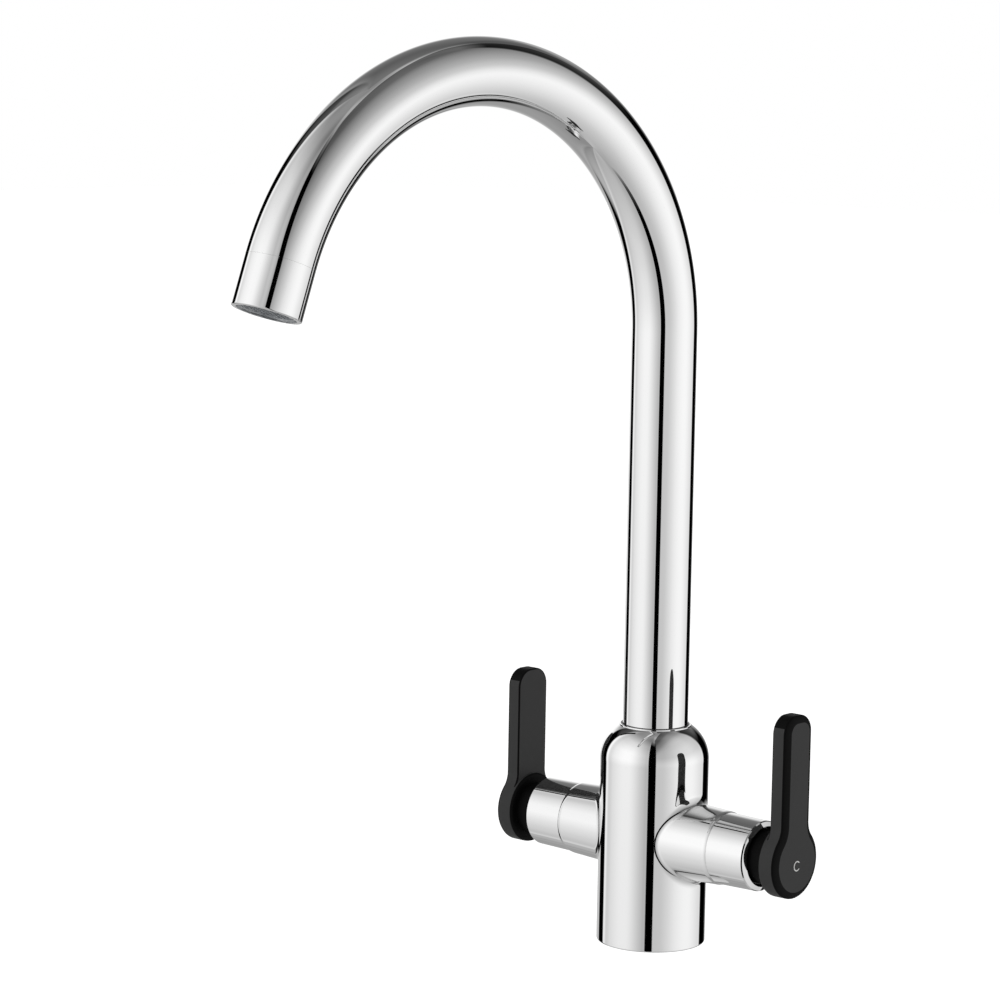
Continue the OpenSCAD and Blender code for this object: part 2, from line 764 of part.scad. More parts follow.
module sleeve(side) {
    web_end_x = hex_end_x + sleeve_web;
    color("#d9dbdd") on_side(side) difference() {
        along_arm(sleeve_x) cylinder(r1 = sleeve_in_d / 2, r2 = sleeve_out_d / 2, h = sleeve_l);
        along_arm(sleeve_x - EPS) cylinder(r = sleeve_bore_r, h = hex_end_x - sleeve_x + EPS);
        along_arm(hex_end_x - EPS) cylinder(r = valve_neck_d / 2 + seat_gap, h = sleeve_web + 2 * EPS);
        along_arm(web_end_x) cylinder(r = sleeve_bore_r, h = sleeve_end_x - web_end_x + EPS);
        along_arm(sleeve_end_x - mouth_chamfer)
            cylinder(r1 = sleeve_bore_r, r2 = sleeve_bore_r + mouth_chamfer + EPS, h = mouth_chamfer + EPS);
    }
}

// ---------------------------------------------------------------- levers

// One slab of the lever's outline, h thick, drawn in by "inset" at its far face.
module lever_slab(h, inset) {
    sweep_x = blade_w / 2 + blade_sweep;
    sweep_y = sqrt(pow(lever_disc_r + blade_sweep, 2) - pow(sweep_x, 2));
    half_w = blade_w / 2;
    corner_x = half_w - blade_corner;
    corner_y = blade_tip - blade_corner;
    cylinder(r1 = lever_disc_r, r2 = lever_disc_r - inset, h = h);
    rotate([90, 0, 0]) mirror([0, 0, 1]) linear_extrude(height = corner_y)
        polygon([[-half_w, 0], [half_w, 0], [half_w - inset, h], [inset - half_w, h]]);
    translate([-corner_x, 0, 0]) rotate([90, 0, 90]) linear_extrude(height = 2 * corner_x)
        polygon([[0, 0], [blade_tip, 0], [blade_tip - inset, h], [0, h]]);
    for (end = [-1, 1]) {
        translate([end * corner_x, corner_y, 0])
            cylinder(r1 = blade_corner, r2 = blade_corner - inset, h = h);
        difference() {
            linear_extrude(height = h) polygon([[0, 0], [end * sweep_x, sweep_y], [0, sweep_y]]);
            translate([end * sweep_x, sweep_y, 0]) rotate_extrude()
                polygon([
                    [0, -EPS], [blade_sweep, -EPS], [blade_sweep, 0],
                    [blade_sweep + inset, h], [blade_sweep + inset, h + EPS], [0, h + EPS]
                ]);
        }
    }
}

// Round base behind the blade and the hub that reaches into the sleeve.
module lever_base_profile() {
    rear = lever_disc_x - hub_x;
    square([hub_r, rear + EPS]);
    translate([0, rear]) square([lever_disc_r - lever_disc_round, lever_disc_back]);
    translate([lever_disc_r - lever_disc_round, rear + lever_disc_round])
        intersection() {
            circle(r = lever_disc_round, $fn = 48);
            translate([-lever_disc_round, -lever_disc_round])
                square([2 * lever_disc_round, lever_disc_round]);
        }
    translate([0, rear + lever_disc_round])
        square([lever_disc_r, lever_disc_back - lever_disc_round]);
}

module cold_letter_shape() {
    difference() {
        circle(r = letter_r, $fn = 48);
        circle(r = letter_r - letter_stroke, $fn = 48);
        sector(2 * letter_r, letter_opening, 0);
    }
}

module hot_letter_shape() {
    for (end = [-1, 1])
        translate([end * (letter_w - letter_stroke) / 2, 0])
            square([letter_stroke, letter_h], center = true);
    square([letter_w - letter_stroke, letter_stroke], center = true);
}

// The letter's place on the lever's outer face, seen the right way round from outside.
module letter_solid(side, clearance) {
    translate([side * (lever_face_x - letter_depth), 0, arm_height - letter_drop])
        rotate([90, 0, side * 90])
            linear_extrude(height = letter_depth + clearance) {
                if (side == COLD) cold_letter_shape();
                else hot_letter_shape();
            }
}

module lever(side) {
    color("#2e2e30") difference() {
        on_side(side) {
            along_arm(blade_x) lever_slab(band_l, 0);
            along_arm(blade_x + band_l) lever_slab(lever_bevel, lever_bevel);
            along_arm(hub_x) rotate_extrude() lever_base_profile();
        }
        on_side(side) {
            along_arm(hub_x - EPS) hexagon(bush_flats, socket_end_x - hub_x + EPS);
            lever_screw_place(0) cylinder(d = lever_screw_d, h = hub_r + EPS);
        }
        letter_solid(side, EPS);
    }
}

// The grub screw stands square to the spindle, on the hub's underside.
module lever_screw_place(r) {
    along_arm(lever_screw_x) rotate([90, 0, 0]) translate([0, 0, r]) children();
}

module spline_bush(side) {
    color("#1e1e1f") on_side(side) difference() {
        along_arm(hub_x) hexagon(bush_flats - 2 * seat_gap, spindle_end_x - hub_x);
        along_arm(hub_x - EPS) splined(spindle_r + run_gap, spindle_end_x - hub_x + 2 * EPS);
        lever_screw_place(0) cylinder(d = lever_screw_d, h = bush_r + EPS);
    }
}

module lever_screw(side) {
    color("#8d9094") on_side(side) lever_screw_place(screw_tip_r)
        grub_screw(lever_screw_d - 2 * seat_gap, lever_screw_d - 2 * lever_screw_tip, lever_screw_tip,
            hub_r - screw_tip_r - lever_screw_sink, lever_screw_d / 2);
}

module letter(side) {
    color("#d6d6d6") letter_solid(side, 0);
}

// ---------------------------------------------------------------- assembly

tap_body();
base_seal();
upper_glide_ring();
lower_glide_ring();
spout_keeping_screw();
spout_tube();
spout_spigot();
spout_o_rings();
outlet_piece();
aerator_housing();
aerator_grille();
aerator_screens();
aerator_washer();
valve_housing(HOT);  // hot_valve_housing
seat_seal(HOT);  // hot_seat_seal
fixed_disc(HOT);  // hot_fixed_disc
moving_disc(HOT);  // hot_moving_disc
spindle(HOT);  // hot_spindle
spindle_o_rings(HOT);  // hot_spindle_o_rings
spindle_clip(HOT);  // hot_spindle_clip
sleeve(HOT);  // hot_sleeve
lever(HOT);  // hot_lever
spline_bush(HOT);  // hot_spline_bush
lever_screw(HOT);  // hot_lever_screw
letter(HOT);  // hot_letter
valve_housing(COLD);  // cold_valve_housing
seat_seal(COLD);  // cold_seat_seal
fixed_disc(COLD);  // cold_fixed_disc
moving_disc(COLD);  // cold_moving_disc
spindle(COLD);  // cold_spindle
spindle_o_rings(COLD);  // cold_spindle_o_rings
spindle_clip(COLD);  // cold_spindle_clip
sleeve(COLD);  // cold_sleeve
lever(COLD);  // cold_lever
spline_bush(COLD);  // cold_spline_bush
lever_screw(COLD);  // cold_lever_screw
letter(COLD);  // cold_letter
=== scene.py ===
"""Two-handle kitchen tap: chromed body, sleeves and swan-neck spout, matt black levers.

Run as a script. The frame gives the place and size of every solid, and this file models the
surfaces that show, gives each piece its finish and sets up a small product studio.
"""
import json
import math

import bpy
from bpy.props import FloatProperty, PointerProperty, StringProperty
from mathutils import Matrix, Vector


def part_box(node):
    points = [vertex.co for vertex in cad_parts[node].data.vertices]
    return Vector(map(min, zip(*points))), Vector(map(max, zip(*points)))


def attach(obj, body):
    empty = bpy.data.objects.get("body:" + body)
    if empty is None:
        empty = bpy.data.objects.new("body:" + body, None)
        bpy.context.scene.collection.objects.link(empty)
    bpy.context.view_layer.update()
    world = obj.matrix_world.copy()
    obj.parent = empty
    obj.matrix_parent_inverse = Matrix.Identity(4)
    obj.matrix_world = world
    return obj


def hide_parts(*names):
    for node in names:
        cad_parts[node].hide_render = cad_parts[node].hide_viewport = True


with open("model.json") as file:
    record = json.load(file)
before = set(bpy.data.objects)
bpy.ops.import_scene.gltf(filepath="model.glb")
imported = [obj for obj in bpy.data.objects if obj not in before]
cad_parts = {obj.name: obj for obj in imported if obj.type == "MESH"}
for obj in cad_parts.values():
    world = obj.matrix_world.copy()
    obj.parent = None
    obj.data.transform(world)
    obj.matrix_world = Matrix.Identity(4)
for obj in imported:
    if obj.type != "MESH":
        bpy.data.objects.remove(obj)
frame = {"nodes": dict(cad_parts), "record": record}

bl_info = {
    "name": "Two-handle kitchen tap",
    "version": (1, 0, 0),
    "blender": (4, 5, 0),
    "location": "3D View > Sidebar > Tap",
    "description": "Models and finishes a two-handle kitchen tap round its packed frame",
    "category": "Object",
}

MM = 0.001               # this file's unit is the metre
TINY = 0.00001           # reach of the selections by place, a hundredth of a millimetre
PAST = MM                # how far a cut runs on past the surface that it opens
SIDES = (1, -1)          # which way the cold and the hot arm point along X
CREASE = math.radians(30)           # edges sharper than this stay crisp
MOUTH_CREASE = math.radians(20)     # the same on the sleeves, whose mouths have flatter edges

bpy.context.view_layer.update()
BODY_LOW, BODY_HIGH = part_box("tap_body")
SLEEVE_LOW, SLEEVE_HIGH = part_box("cold_sleeve")
LEVER_LOW, LEVER_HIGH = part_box("cold_lever")
TUBE_LOW, TUBE_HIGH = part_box("spout_tube")
ARM_HEIGHT = (SLEEVE_LOW.z + SLEEVE_HIGH.z) / 2


# ---------------------------------------------------------------- sizes and colours

def length(name, description, millimetres):
    """A length property whose default is given in millimetres."""
    return FloatProperty(name=name, description=description, default=millimetres * MM,
                         min=0.0, subtype="DISTANCE", unit="LENGTH", precision=5)


def angle(name, description, degrees):
    """An angle property whose default is given in degrees."""
    return FloatProperty(name=name, description=description, default=math.radians(degrees),
                         subtype="ANGLE", unit="ROTATION")


def colour(name, description, value):
    """An sRGB hex colour, kept as text so that it is easy to read and to change."""
    return StringProperty(name=name, description=description, default=value, maxlen=7)


class TapBodySizes(bpy.types.PropertyGroup):
    """Sizes of the cast body and its two arms."""
    radius: length("Radius", "Radius of the upright body", BODY_HIGH.y / MM)
    height: length("Height", "Height of the body, deck to rim", BODY_HIGH.z / MM)
    base_round: length("Base rounding", "Rounding of the edge at the deck", 0.8)
    shoulder: length("Shoulder", "Radius of the shoulder's rounding", 17.5)
    rim_radius: length("Rim radius", "Radius of the rim round the spout", 15.6)
    rim_height: length("Rim height", "Straight side of the rim above the shoulder", 0.5)
    rim_round: length("Rim rounding", "Softening of the rim's upper edge", 0.12)
    glide_radius: length("Glide ring seat", "Radius of the seat for the upper glide ring", 14.8)
    glide_depth: length("Glide seat depth", "Depth of that seat", 2.4)
    socket_radius: length("Socket radius", "Bore that the spout's spigot turns in", 12.0)
    socket_depth: length("Socket depth", "Depth of that bore", 34.0)
    recess_radius: length("Recess radius", "Recess in the underside", 17.5)
    recess_depth: length("Recess depth", "Depth of the recess in the underside", 11.0)
    seal_inner: length("Seal groove inside", "Inner radius of the base seal's groove", 18.95)
    seal_outer: length("Seal groove outside", "Outer radius of the base seal's groove", 21.15)
    seal_depth: length("Seal groove depth", "Depth of the base seal's groove", 1.6)
    arm_reach: length("Arm reach", "Body centre to each arm's end face", BODY_HIGH.x / MM)
    arm_root: length("Arm root radius", "Radius of the arm's taper at the body's centre", 17.6)
    arm_end: length("Arm end radius", "Radius of the arm at its end", 15.85)
    arm_drop: length("Arm step", "How far the arm's end rounds down to the sleeve", 0.5)
    arm_round: length("Arm rounding", "Radius of that rounding", 5.3)
    arm_start: length("Arm start", "Where the arm's solid starts inside the body", 14.0)
    saddle_round: length("Saddle rounding", "Fillet between the body and each arm", 4.0)


class TapSleeveSizes(bpy.types.PropertyGroup):
    """Sizes of the turned sleeve over each valve."""
    inner_radius: length("Radius at the arm", "Outer radius beside the arm", 15.35)
    outer_radius: length("Radius at the lever", "Outer radius at the lever end", 15.0)
    bore: length("Bore", "Radius of the sleeve's bore", 12.9)
    web_bore: length("Web bore", "Radius of the hole through the web", 8.02)
    web_start: length("Web start", "Body centre to the near face of the web", 45.0)
    web: length("Web", "Thickness of the web pressed onto the valve's neck", 2.4)
    edge_width: length("Edge width", "Mouth's outer edge, measured across the sleeve", 0.38)
    edge_depth: length("Edge depth", "Mouth's outer edge, measured along the sleeve", 0.55)
    mouth_depth: length("Mouth depth", "Sloped ring of the mouth, measured along the sleeve", 1.0)
    seam: length("Seam", "Gap between the arm's end and the sleeve", 0.02)
    seam_round: length("Seam rounding", "Softening of the edge beside the arm", 0.03)


class TapLeverSizes(bpy.types.PropertyGroup):
    """Sizes of the cast levers."""
    thickness: length("Thickness", "Thickness of the blade", 7.7)
    bevel: length("Bevel width", "Width of the bevel, seen from the outer face", 3.0)
    bevel_depth: length("Bevel depth", "Depth of the bevel below the outer face", 1.35)
    inlay_clear: length("Letter stand-out", "How far the letters stand proud of the face", 0.02)
    disc_back: length("Base depth", "How far the round base stands behind the blade", 1.6)
    disc_round: length("Base rounding", "Rounding of the round base's rear edge", 1.45)
    blade_width: length("Blade width", "Width of the blade", 18.4)
    blade_corner: length("Blade corners", "Corner radius of the blade's tip", 7.6)
    blade_sweep: length("Sweep", "Radius between the blade and its round base", 9.5)
    hub_radius: length("Hub radius", "Radius of the hub", 11.4)
    socket_flats: length("Bush socket", "Width across the flats of the bush's socket", 13.4)
    socket_wall: length("Socket wall", "Metal between the socket and the outer face", 9.2)
    screw_radius: length("Screw hole", "Radius of the grub screw's hole", 2.0)
    edge_soft: length("Edge softness", "Rounding that the coat leaves on the edges", 0.6)


class TapSpoutSizes(bpy.types.PropertyGroup):
    """Sizes of the bent spout tube and its outlet piece."""
    radius: length("Tube radius", "Outer radius of the spout tube", 14.0)
    wall: length("Tube wall", "Wall of the spout tube", 1.1)
    bend_radius: length("Bend radius", "Radius of the swan neck's centre line", 108.4)
    bend_angle: angle("Bend angle", "Angle that the swan neck bends through", 160.9)
    turn: angle("Spout turn", "Angle that the spout stands turned to the hot side", 4.9)
    outlet_length: length("Outlet length", "Length of the straight outlet piece", 20.4)
    outlet_plug: length("Outlet plug", "Depth of the outlet piece inside the tube", 6.0)
    plug_radius: length("Plug radius", "Radius of the outlet piece inside the tube", 12.7)
    seam_groove: length("Seam groove", "V-groove between tube and outlet piece", 0.15)
    lip_round: length("Lip rounding", "Rounding of the outlet's lip", 0.5)
    aerator_radius: length("Aerator radius", "Radius of the aerator's seat", 12.0)
    aerator_depth: length("Aerator seat", "Lip to the far end of the aerator's seat", 11.8)
    bore: length("Outlet bore", "Radius of the waterway behind the aerator", 9.5)


class TapFinishColours(bpy.types.PropertyGroup):
    """Colours of the finishes, as sRGB hex values."""
    chrome: colour("Chrome", "Bright chrome plate", "#efefef")
    lever_coat: colour("Lever coat", "Satin black coat of the levers", "#464646")
    # painted shade: near-black stands in for the shade and dark reflections on the levers' bevels,
    # edges and hubs
    lever_edge: colour("Lever edges", "Dull coat on the levers' bevels and hubs", "#0b0b0b")
    letter_paint: colour("Letter paint", "Filling paint of the letters", "#f6f6f4")
    brass: colour("Brass", "Machined brass", "#e3c78e")
    ceramic: colour("Ceramic", "Lapped alumina", "#f3f2ec")
    rubber: colour("Rubber", "Moulded rubber", "#1b1b1b")
    acetal: colour("Acetal", "Moulded black acetal", "#19191a")
    grey_plastic: colour("Grey plastic", "Moulded plastic of the aerator", "#a4a8ac")
    steel: colour("Steel", "Plain stainless steel", "#c3c5c8")


class TapStudio(bpy.types.PropertyGroup):
    """Camera and studio."""
    azimuth: angle("Azimuth", "Camera's direction from the front, to the right", 38.897)
    distance: length("Distance", "Level distance of the camera from the body's axis", 1413.08)
    height: length("Height", "Height of the camera above the deck", 378.89)
    yaw: angle("Yaw", "Turn of the camera about the vertical", 41.669)
    pitch: angle("Pitch", "Downward tilt of the camera", 7.589)
    roll: angle("Roll", "Roll of the camera", 0.956)
    lens: FloatProperty(name="Lens", description="Focal length on the 36 mm sensor",
                        default=120.28, min=1.0, subtype="DISTANCE_CAMERA")
    wall_light: FloatProperty(name="Wall light", description="Brightness of the whitest wall",
                              default=1.12, min=0.0)


SETTINGS = {
    "tap_body": TapBodySizes,
    "tap_sleeves": TapSleeveSizes,
    "tap_levers": TapLeverSizes,
    "tap_spout": TapSpoutSizes,
    "tap_colours": TapFinishColours,
    "tap_studio": TapStudio,
}


# ---------------------------------------------------------------- modelling by operators

def clear_selection():
    """Leaves nothing selected, so that an operator acts only on what is picked next."""
    if bpy.context.object and bpy.context.object.mode != "OBJECT":
        bpy.ops.object.mode_set(mode="OBJECT")
    bpy.ops.object.select_all(action="DESELECT")


def pick(piece):
    """Makes one piece the active and only selected object."""
    clear_selection()
    piece.select_set(True)
    bpy.context.view_layer.objects.active = piece


def name_piece(piece, name):
    """Names a piece and its mesh alike."""
    piece.name = name
    piece.data.name = name
    return piece


def select_parts(piece, kind, test):
    """In edit mode, selects the vertices or faces whose place passes the test."""
    bpy.ops.mesh.select_mode(type={"vertices": "VERT", "polygons": "FACE"}[kind])
    bpy.ops.mesh.select_all(action="DESELECT")
    bpy.ops.object.mode_set(mode="OBJECT")
    for part in getattr(piece.data, kind):
        part.select = test(part.co if kind == "vertices" else part.center)
    bpy.ops.object.mode_set(mode="EDIT")


def extrude_by(x, y, z):
    """In edit mode, draws what is selected out by a distance."""
    bpy.ops.mesh.extrude_region_move(TRANSFORM_OT_translate={"value": (x, y, z)})


class Pen:
    """Draws an outline in the XZ plane, one stretch after the other."""

    def __init__(self, x, z):
        """Sets a single vertex down at (x, z)."""
        clear_selection()
        bpy.ops.mesh.primitive_plane_add(size=MM)
        self.piece = bpy.context.object
        bpy.ops.object.mode_set(mode="EDIT")
        bpy.ops.mesh.select_mode(type="VERT")
        bpy.ops.mesh.merge(type="CENTER")
        bpy.ops.transform.translate(value=(x, 0, z))
        self.x, self.z = x, z

    def line(self, x, z, rows=1):
        """A straight stretch to (x, z), in equal rows."""
        for _ in range(rows):
            extrude_by((x - self.x) / rows, 0, (z - self.z) / rows)
        self.x, self.z = x, z

    def arc(self, x, z, turn, steps):
        """A round stretch about (x, z), anticlockwise where the turn is positive."""
        bpy.ops.mesh.spin(steps=steps, angle=turn, center=(x, 0, z), axis=(0, 1, 0))
        offset = Matrix.Rotation(turn, 2) @ Vector((self.x - x, self.z - z))
        self.x, self.z = x + offset.x, z + offset.y

    def lathe(self, segments):
        """Spins the outline about Z into a closed turned piece."""
        bpy.ops.mesh.select_all(action="SELECT")
        bpy.ops.mesh.spin(steps=segments, angle=2 * math.pi, center=(0, 0, 0), axis=(0, 0, 1))
        weld_and_face_out()
        bpy.ops.object.mode_set(mode="OBJECT")
        return self.piece


def weld_and_face_out():
    """Merges doubles, then turns all faces outwards."""
    bpy.ops.mesh.select_all(action="SELECT")
    bpy.ops.mesh.remove_doubles(threshold=TINY / 10)
    bpy.ops.mesh.normals_make_consistent(inside=False)


def settle(piece, matrix=None):
    """Moves a piece by a matrix and keeps the move in its mesh."""
    if matrix is not None:
        piece.matrix_world = matrix @ piece.matrix_world
    pick(piece)
    bpy.ops.object.transform_apply(location=True, rotation=True, scale=True)
    return piece


def apply_modifier(piece, kind, **settings):
    """Adds a modifier, sets it and applies it."""
    pick(piece)
    bpy.ops.object.modifier_add(type=kind)
    modifier = piece.modifiers[-1]
    for key, value in settings.items():
        setattr(modifier, key, value)
    bpy.ops.object.modifier_apply(modifier=modifier.name)


def combine(piece, tool, operation):
    """Joins a tool shape to a piece, or cuts it out. The tool is used up."""
    apply_modifier(piece, "BOOLEAN", operation=operation, object=tool, solver="MANIFOLD")
    mesh = tool.data
    bpy.data.objects.remove(tool)
    bpy.data.meshes.remove(mesh)


def drill(piece, radius, start, end, vertices=64):
    """Cuts a straight hole between two points."""
    run = end - start
    clear_selection()
    bpy.ops.mesh.primitive_cylinder_add(vertices=vertices, radius=radius, depth=run.length)
    aim = run.to_track_quat("Z", "Y").to_matrix().to_4x4()
    tool = settle(bpy.context.object, Matrix.Translation((start + end) / 2) @ aim)
    combine(piece, tool, "DIFFERENCE")


def shade_smooth(piece, limit=CREASE):
    """Smooth shading with crisp edges, led by the large faces."""
    pick(piece)
    bpy.ops.object.shade_smooth_by_angle(angle=limit)
    apply_modifier(piece, "WEIGHTED_NORMAL", weight=50, keep_sharp=True)


def copy_mirrored(piece, name):
    """A copy on the other side of the YZ plane, with a mesh of its own."""
    pick(piece)
    bpy.ops.object.duplicate(linked=False)
    twin = name_piece(bpy.context.object, name)
    settle(twin, Matrix.Scale(-1, 4, (1, 0, 0)))
    bpy.ops.object.mode_set(mode="EDIT")
    weld_and_face_out()
    bpy.ops.object.mode_set(mode="OBJECT")
    return twin


def finish_piece(piece, slot, body, *nodes):
    """Gives a piece its slot's finish, unless it has one, and ties it to the frame."""
    if not any(piece.data.materials):
        piece.data.materials.clear()
        piece.data.materials.append(finish_for(slot))
    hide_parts(*nodes)
    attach(piece, body)


# ---------------------------------------------------------------- node helpers

WHITE, BLACK = (1, 1, 1, 1), (0, 0, 0, 1)
RED, GREEN, BLUE = (1, 0, 0, 1), (0, 1, 0, 1), (0, 0, 1, 1)
NOISE_LOW, NOISE_HIGH = 0.35, 0.65       # the range that the noise texture mostly keeps to


def linear(hex_colour):
    """An sRGB hex colour as linear RGBA."""
    parts = [int(hex_colour[i:i + 2], 16) / 255 for i in (1, 3, 5)]
    return [c / 12.92 if c <= 0.04045 else ((c + 0.055) / 1.055) ** 2.4 for c in parts] + [1.0]


def add_node(tree, kind, inputs=None, **settings):
    """Adds a node, sets its properties, and gives its sockets values or links.

    A node among the inputs stands for its first output.
    """
    node = tree.nodes.new(kind)
    for key, value in settings.items():
        setattr(node, key, value)
    for socket, value in (inputs or {}).items():
        if isinstance(value, bpy.types.Node):
            value = value.outputs[0]
        if isinstance(value, bpy.types.NodeSocket):
            tree.links.new(value, node.inputs[socket])
        else:
            node.inputs[socket].default_value = value
    return node


def fill_ramp(ramp_node, stops, interpolation):
    """Sets a ramp's stops from {position: brightness or colour}."""
    ramp = ramp_node.color_ramp
    ramp.interpolation = interpolation
    while len(ramp.elements) > 1:
        ramp.elements.remove(ramp.elements[-1])
    for index, (position, value) in enumerate(sorted(stops.items())):
        stop = ramp.elements[0] if index == 0 else ramp.elements.new(position)
        stop.position = position
        stop.color = value if isinstance(value, (list, tuple)) else (value, value, value, 1.0)


def new_material(name):
    """An empty material, and its node tree."""
    material = bpy.data.materials.new(name)
    material.use_nodes = True
    material.node_tree.nodes.clear()
    return material, material.node_tree


def plain_finish(name, colour_hex, grain_size, relief, roughness, **shader_values):
    """A finish of one colour with the fine texture that its making leaves.

    The grain is noise whose features are about "grain_size" across. It raises the surface by
    up to "relief", and moves the roughness between the two values given.
    """
    material, tree = new_material(name)
    place = add_node(tree, "ShaderNodeTexCoord")
    grain = add_node(tree, "ShaderNodeTexNoise",
                     {"Vector": place.outputs["Object"], "Scale": 1 / grain_size, "Detail": 2.0})
    rough = add_node(tree, "ShaderNodeMapRange",
                     {"Value": grain.outputs["Fac"], "From Min": NOISE_LOW,
                      "From Max": NOISE_HIGH, "To Min": roughness[0], "To Max": roughness[1]})
    bump = add_node(tree, "ShaderNodeBump",
                    {"Height": grain.outputs["Fac"], "Distance": relief, "Strength": 1.0})
    shader = add_node(tree, "ShaderNodeBsdfPrincipled",
                      {"Base Color": linear(colour_hex), "Roughness": rough, "Normal": bump,
                       **shader_values})
    add_node(tree, "ShaderNodeOutputMaterial", {"Surface": shader})
    return material


# ---------------------------------------------------------------- finishes

def bright_chrome_plate(colours):
    """Chrome over polished brass: a mirror, with the faint swell that hand polishing leaves."""
    return plain_finish("bright_chrome_plate", colours.chrome, 26 * MM, 0.004 * MM,
                        (0.020, 0.045), Metallic=1.0)


def satin_black_coat(colours):
    """Baked satin coat on a zinc casting: charcoal black, faint sheen and a very fine grain."""
    return plain_finish("satin_black_coat", colours.lever_coat, 0.35 * MM, 0.0004 * MM,
                        (0.32, 0.38), **{"Specular IOR Level": 0.07})


def dull_black_coat(colours):
    """Painted shade on bevels, edges and hub: the same coat, darker, duller, mirroring next to
    nothing.
    """
    return plain_finish("dull_black_coat", colours.lever_edge, 0.35 * MM, 0.0004 * MM,
                        (0.5, 0.6), **{"Specular IOR Level": 0.07})


def letter_filling_paint(colours):
    """Light filling paint, wiped into the letters and a little uneven."""
    return plain_finish("letter_filling_paint", colours.letter_paint, 0.5 * MM, 0.01 * MM,
                        (0.35, 0.5))


def machined_brass(colours):
    """Bare turned brass, with fine tool marks."""
    return plain_finish("machined_brass", colours.brass, 0.6 * MM, 0.006 * MM,
                        (0.18, 0.3), Metallic=1.0)


def lapped_alumina(colours):
    """Lapped white alumina: dense, smooth and faintly glossy."""
    return plain_finish("lapped_alumina", colours.ceramic, 0.4 * MM, 0.001 * MM, (0.15, 0.22))


def moulded_rubber(colours):
    """Black moulded rubber with a dull skin."""
    return plain_finish("moulded_rubber", colours.rubber, 0.5 * MM, 0.01 * MM, (0.6, 0.75))


def moulded_acetal(colours):
    """Black acetal, moulded smooth, with a waxy shine."""
    return plain_finish("moulded_acetal", colours.acetal, 0.8 * MM, 0.004 * MM, (0.3, 0.4))


def moulded_grey_plastic(colours):
    """Grey acetal of the aerator, moulded: an even grey with a low shine."""
    return plain_finish("moulded_grey_plastic", colours.grey_plastic, 0.7 * MM, 0.006 * MM,
                        (0.35, 0.48))


def plain_stainless_steel(colours):
    """Stainless steel as it comes off the lathe or the loom: grey, with a broken shine."""
    return plain_finish("plain_stainless_steel", colours.steel, 0.5 * MM, 0.004 * MM,
                        (0.22, 0.34), Metallic=1.0)


FINISH_OF_SLOT = {
    "chrome_plate": bright_chrome_plate,
    "black_lever": satin_black_coat,
    "bare_brass": machined_brass,
    "ceramic_disc": lapped_alumina,
    "seal_rubber": moulded_rubber,
    "glide_plastic": moulded_acetal,
    "aerator_plastic": moulded_grey_plastic,
    "steel": plain_stainless_steel,
    "letter_paint": letter_filling_paint,
}


def made_once(make):
    """The material of a finish, made the first time that it is asked for."""
    return bpy.data.materials.get(make.__name__) or make(bpy.context.scene.tap_colours)


def finish_for(slot):
    """The material of one of the record's slots."""
    return made_once(FINISH_OF_SLOT[slot])


# ---------------------------------------------------------------- body

def turned_body(sizes):
    """The upright body: shoulder, rim, glide ring seat, spout socket and base recess."""
    radius, top = sizes.radius, sizes.height
    rise = math.sqrt(sizes.shoulder ** 2 - (sizes.shoulder - radius + sizes.rim_radius) ** 2)
    shoulder_z = top - sizes.rim_height - rise
    socket_z = top - sizes.socket_depth
    pen = Pen(0, sizes.recess_depth)
    pen.line(sizes.recess_radius, sizes.recess_depth)
    pen.line(sizes.recess_radius, 0)
    pen.line(sizes.seal_inner, 0)
    pen.line(sizes.seal_inner, sizes.seal_depth)
    pen.line(sizes.seal_outer, sizes.seal_depth)
    pen.line(sizes.seal_outer, 0)
    pen.line(radius - sizes.base_round, 0)
    pen.arc(radius - sizes.base_round, sizes.base_round, math.radians(90), 8)
    pen.line(radius, shoulder_z, rows=40)
    pen.arc(radius - sizes.shoulder, shoulder_z, math.asin(rise / sizes.shoulder), 56)
    pen.line(sizes.rim_radius, top - sizes.rim_round)
    pen.arc(sizes.rim_radius - sizes.rim_round, top - sizes.rim_round, math.radians(90), 3)
    pen.line(sizes.glide_radius, top)
    pen.line(sizes.glide_radius, top - sizes.glide_depth)
    pen.line(sizes.socket_radius, top - sizes.glide_depth)
    pen.line(sizes.socket_radius, socket_z)
    pen.line(0, socket_z)
    return pen.lathe(384)


def along_arm(side):
    """Turns a piece from the Z axis onto the arm of one side."""
    return Matrix.Translation((0, 0, ARM_HEIGHT)) @ Matrix.Rotation(math.radians(90) * side, 4, "Y")


def arm_rounding(sizes):
    """Angle of the rounding at an arm's end, and how far out it starts."""
    turn = math.acos(1 - sizes.arm_drop / sizes.arm_round)
    return turn, sizes.arm_reach - sizes.arm_round * math.sin(turn)


def turned_arm(sizes):
    """One tapered arm, from inside the body to its rounded end."""
    turn, edge_x = arm_rounding(sizes)
    slope = (sizes.arm_end - sizes.arm_root) / edge_x
    pen = Pen(0, sizes.arm_start)
    pen.line(sizes.arm_root + slope * sizes.arm_start, sizes.arm_start)
    pen.line(sizes.arm_end, edge_x, rows=14)
    pen.arc(sizes.arm_end - sizes.arm_round, edge_x, turn, 10)
    pen.line(0, sizes.arm_reach)
    return pen.lathe(256)


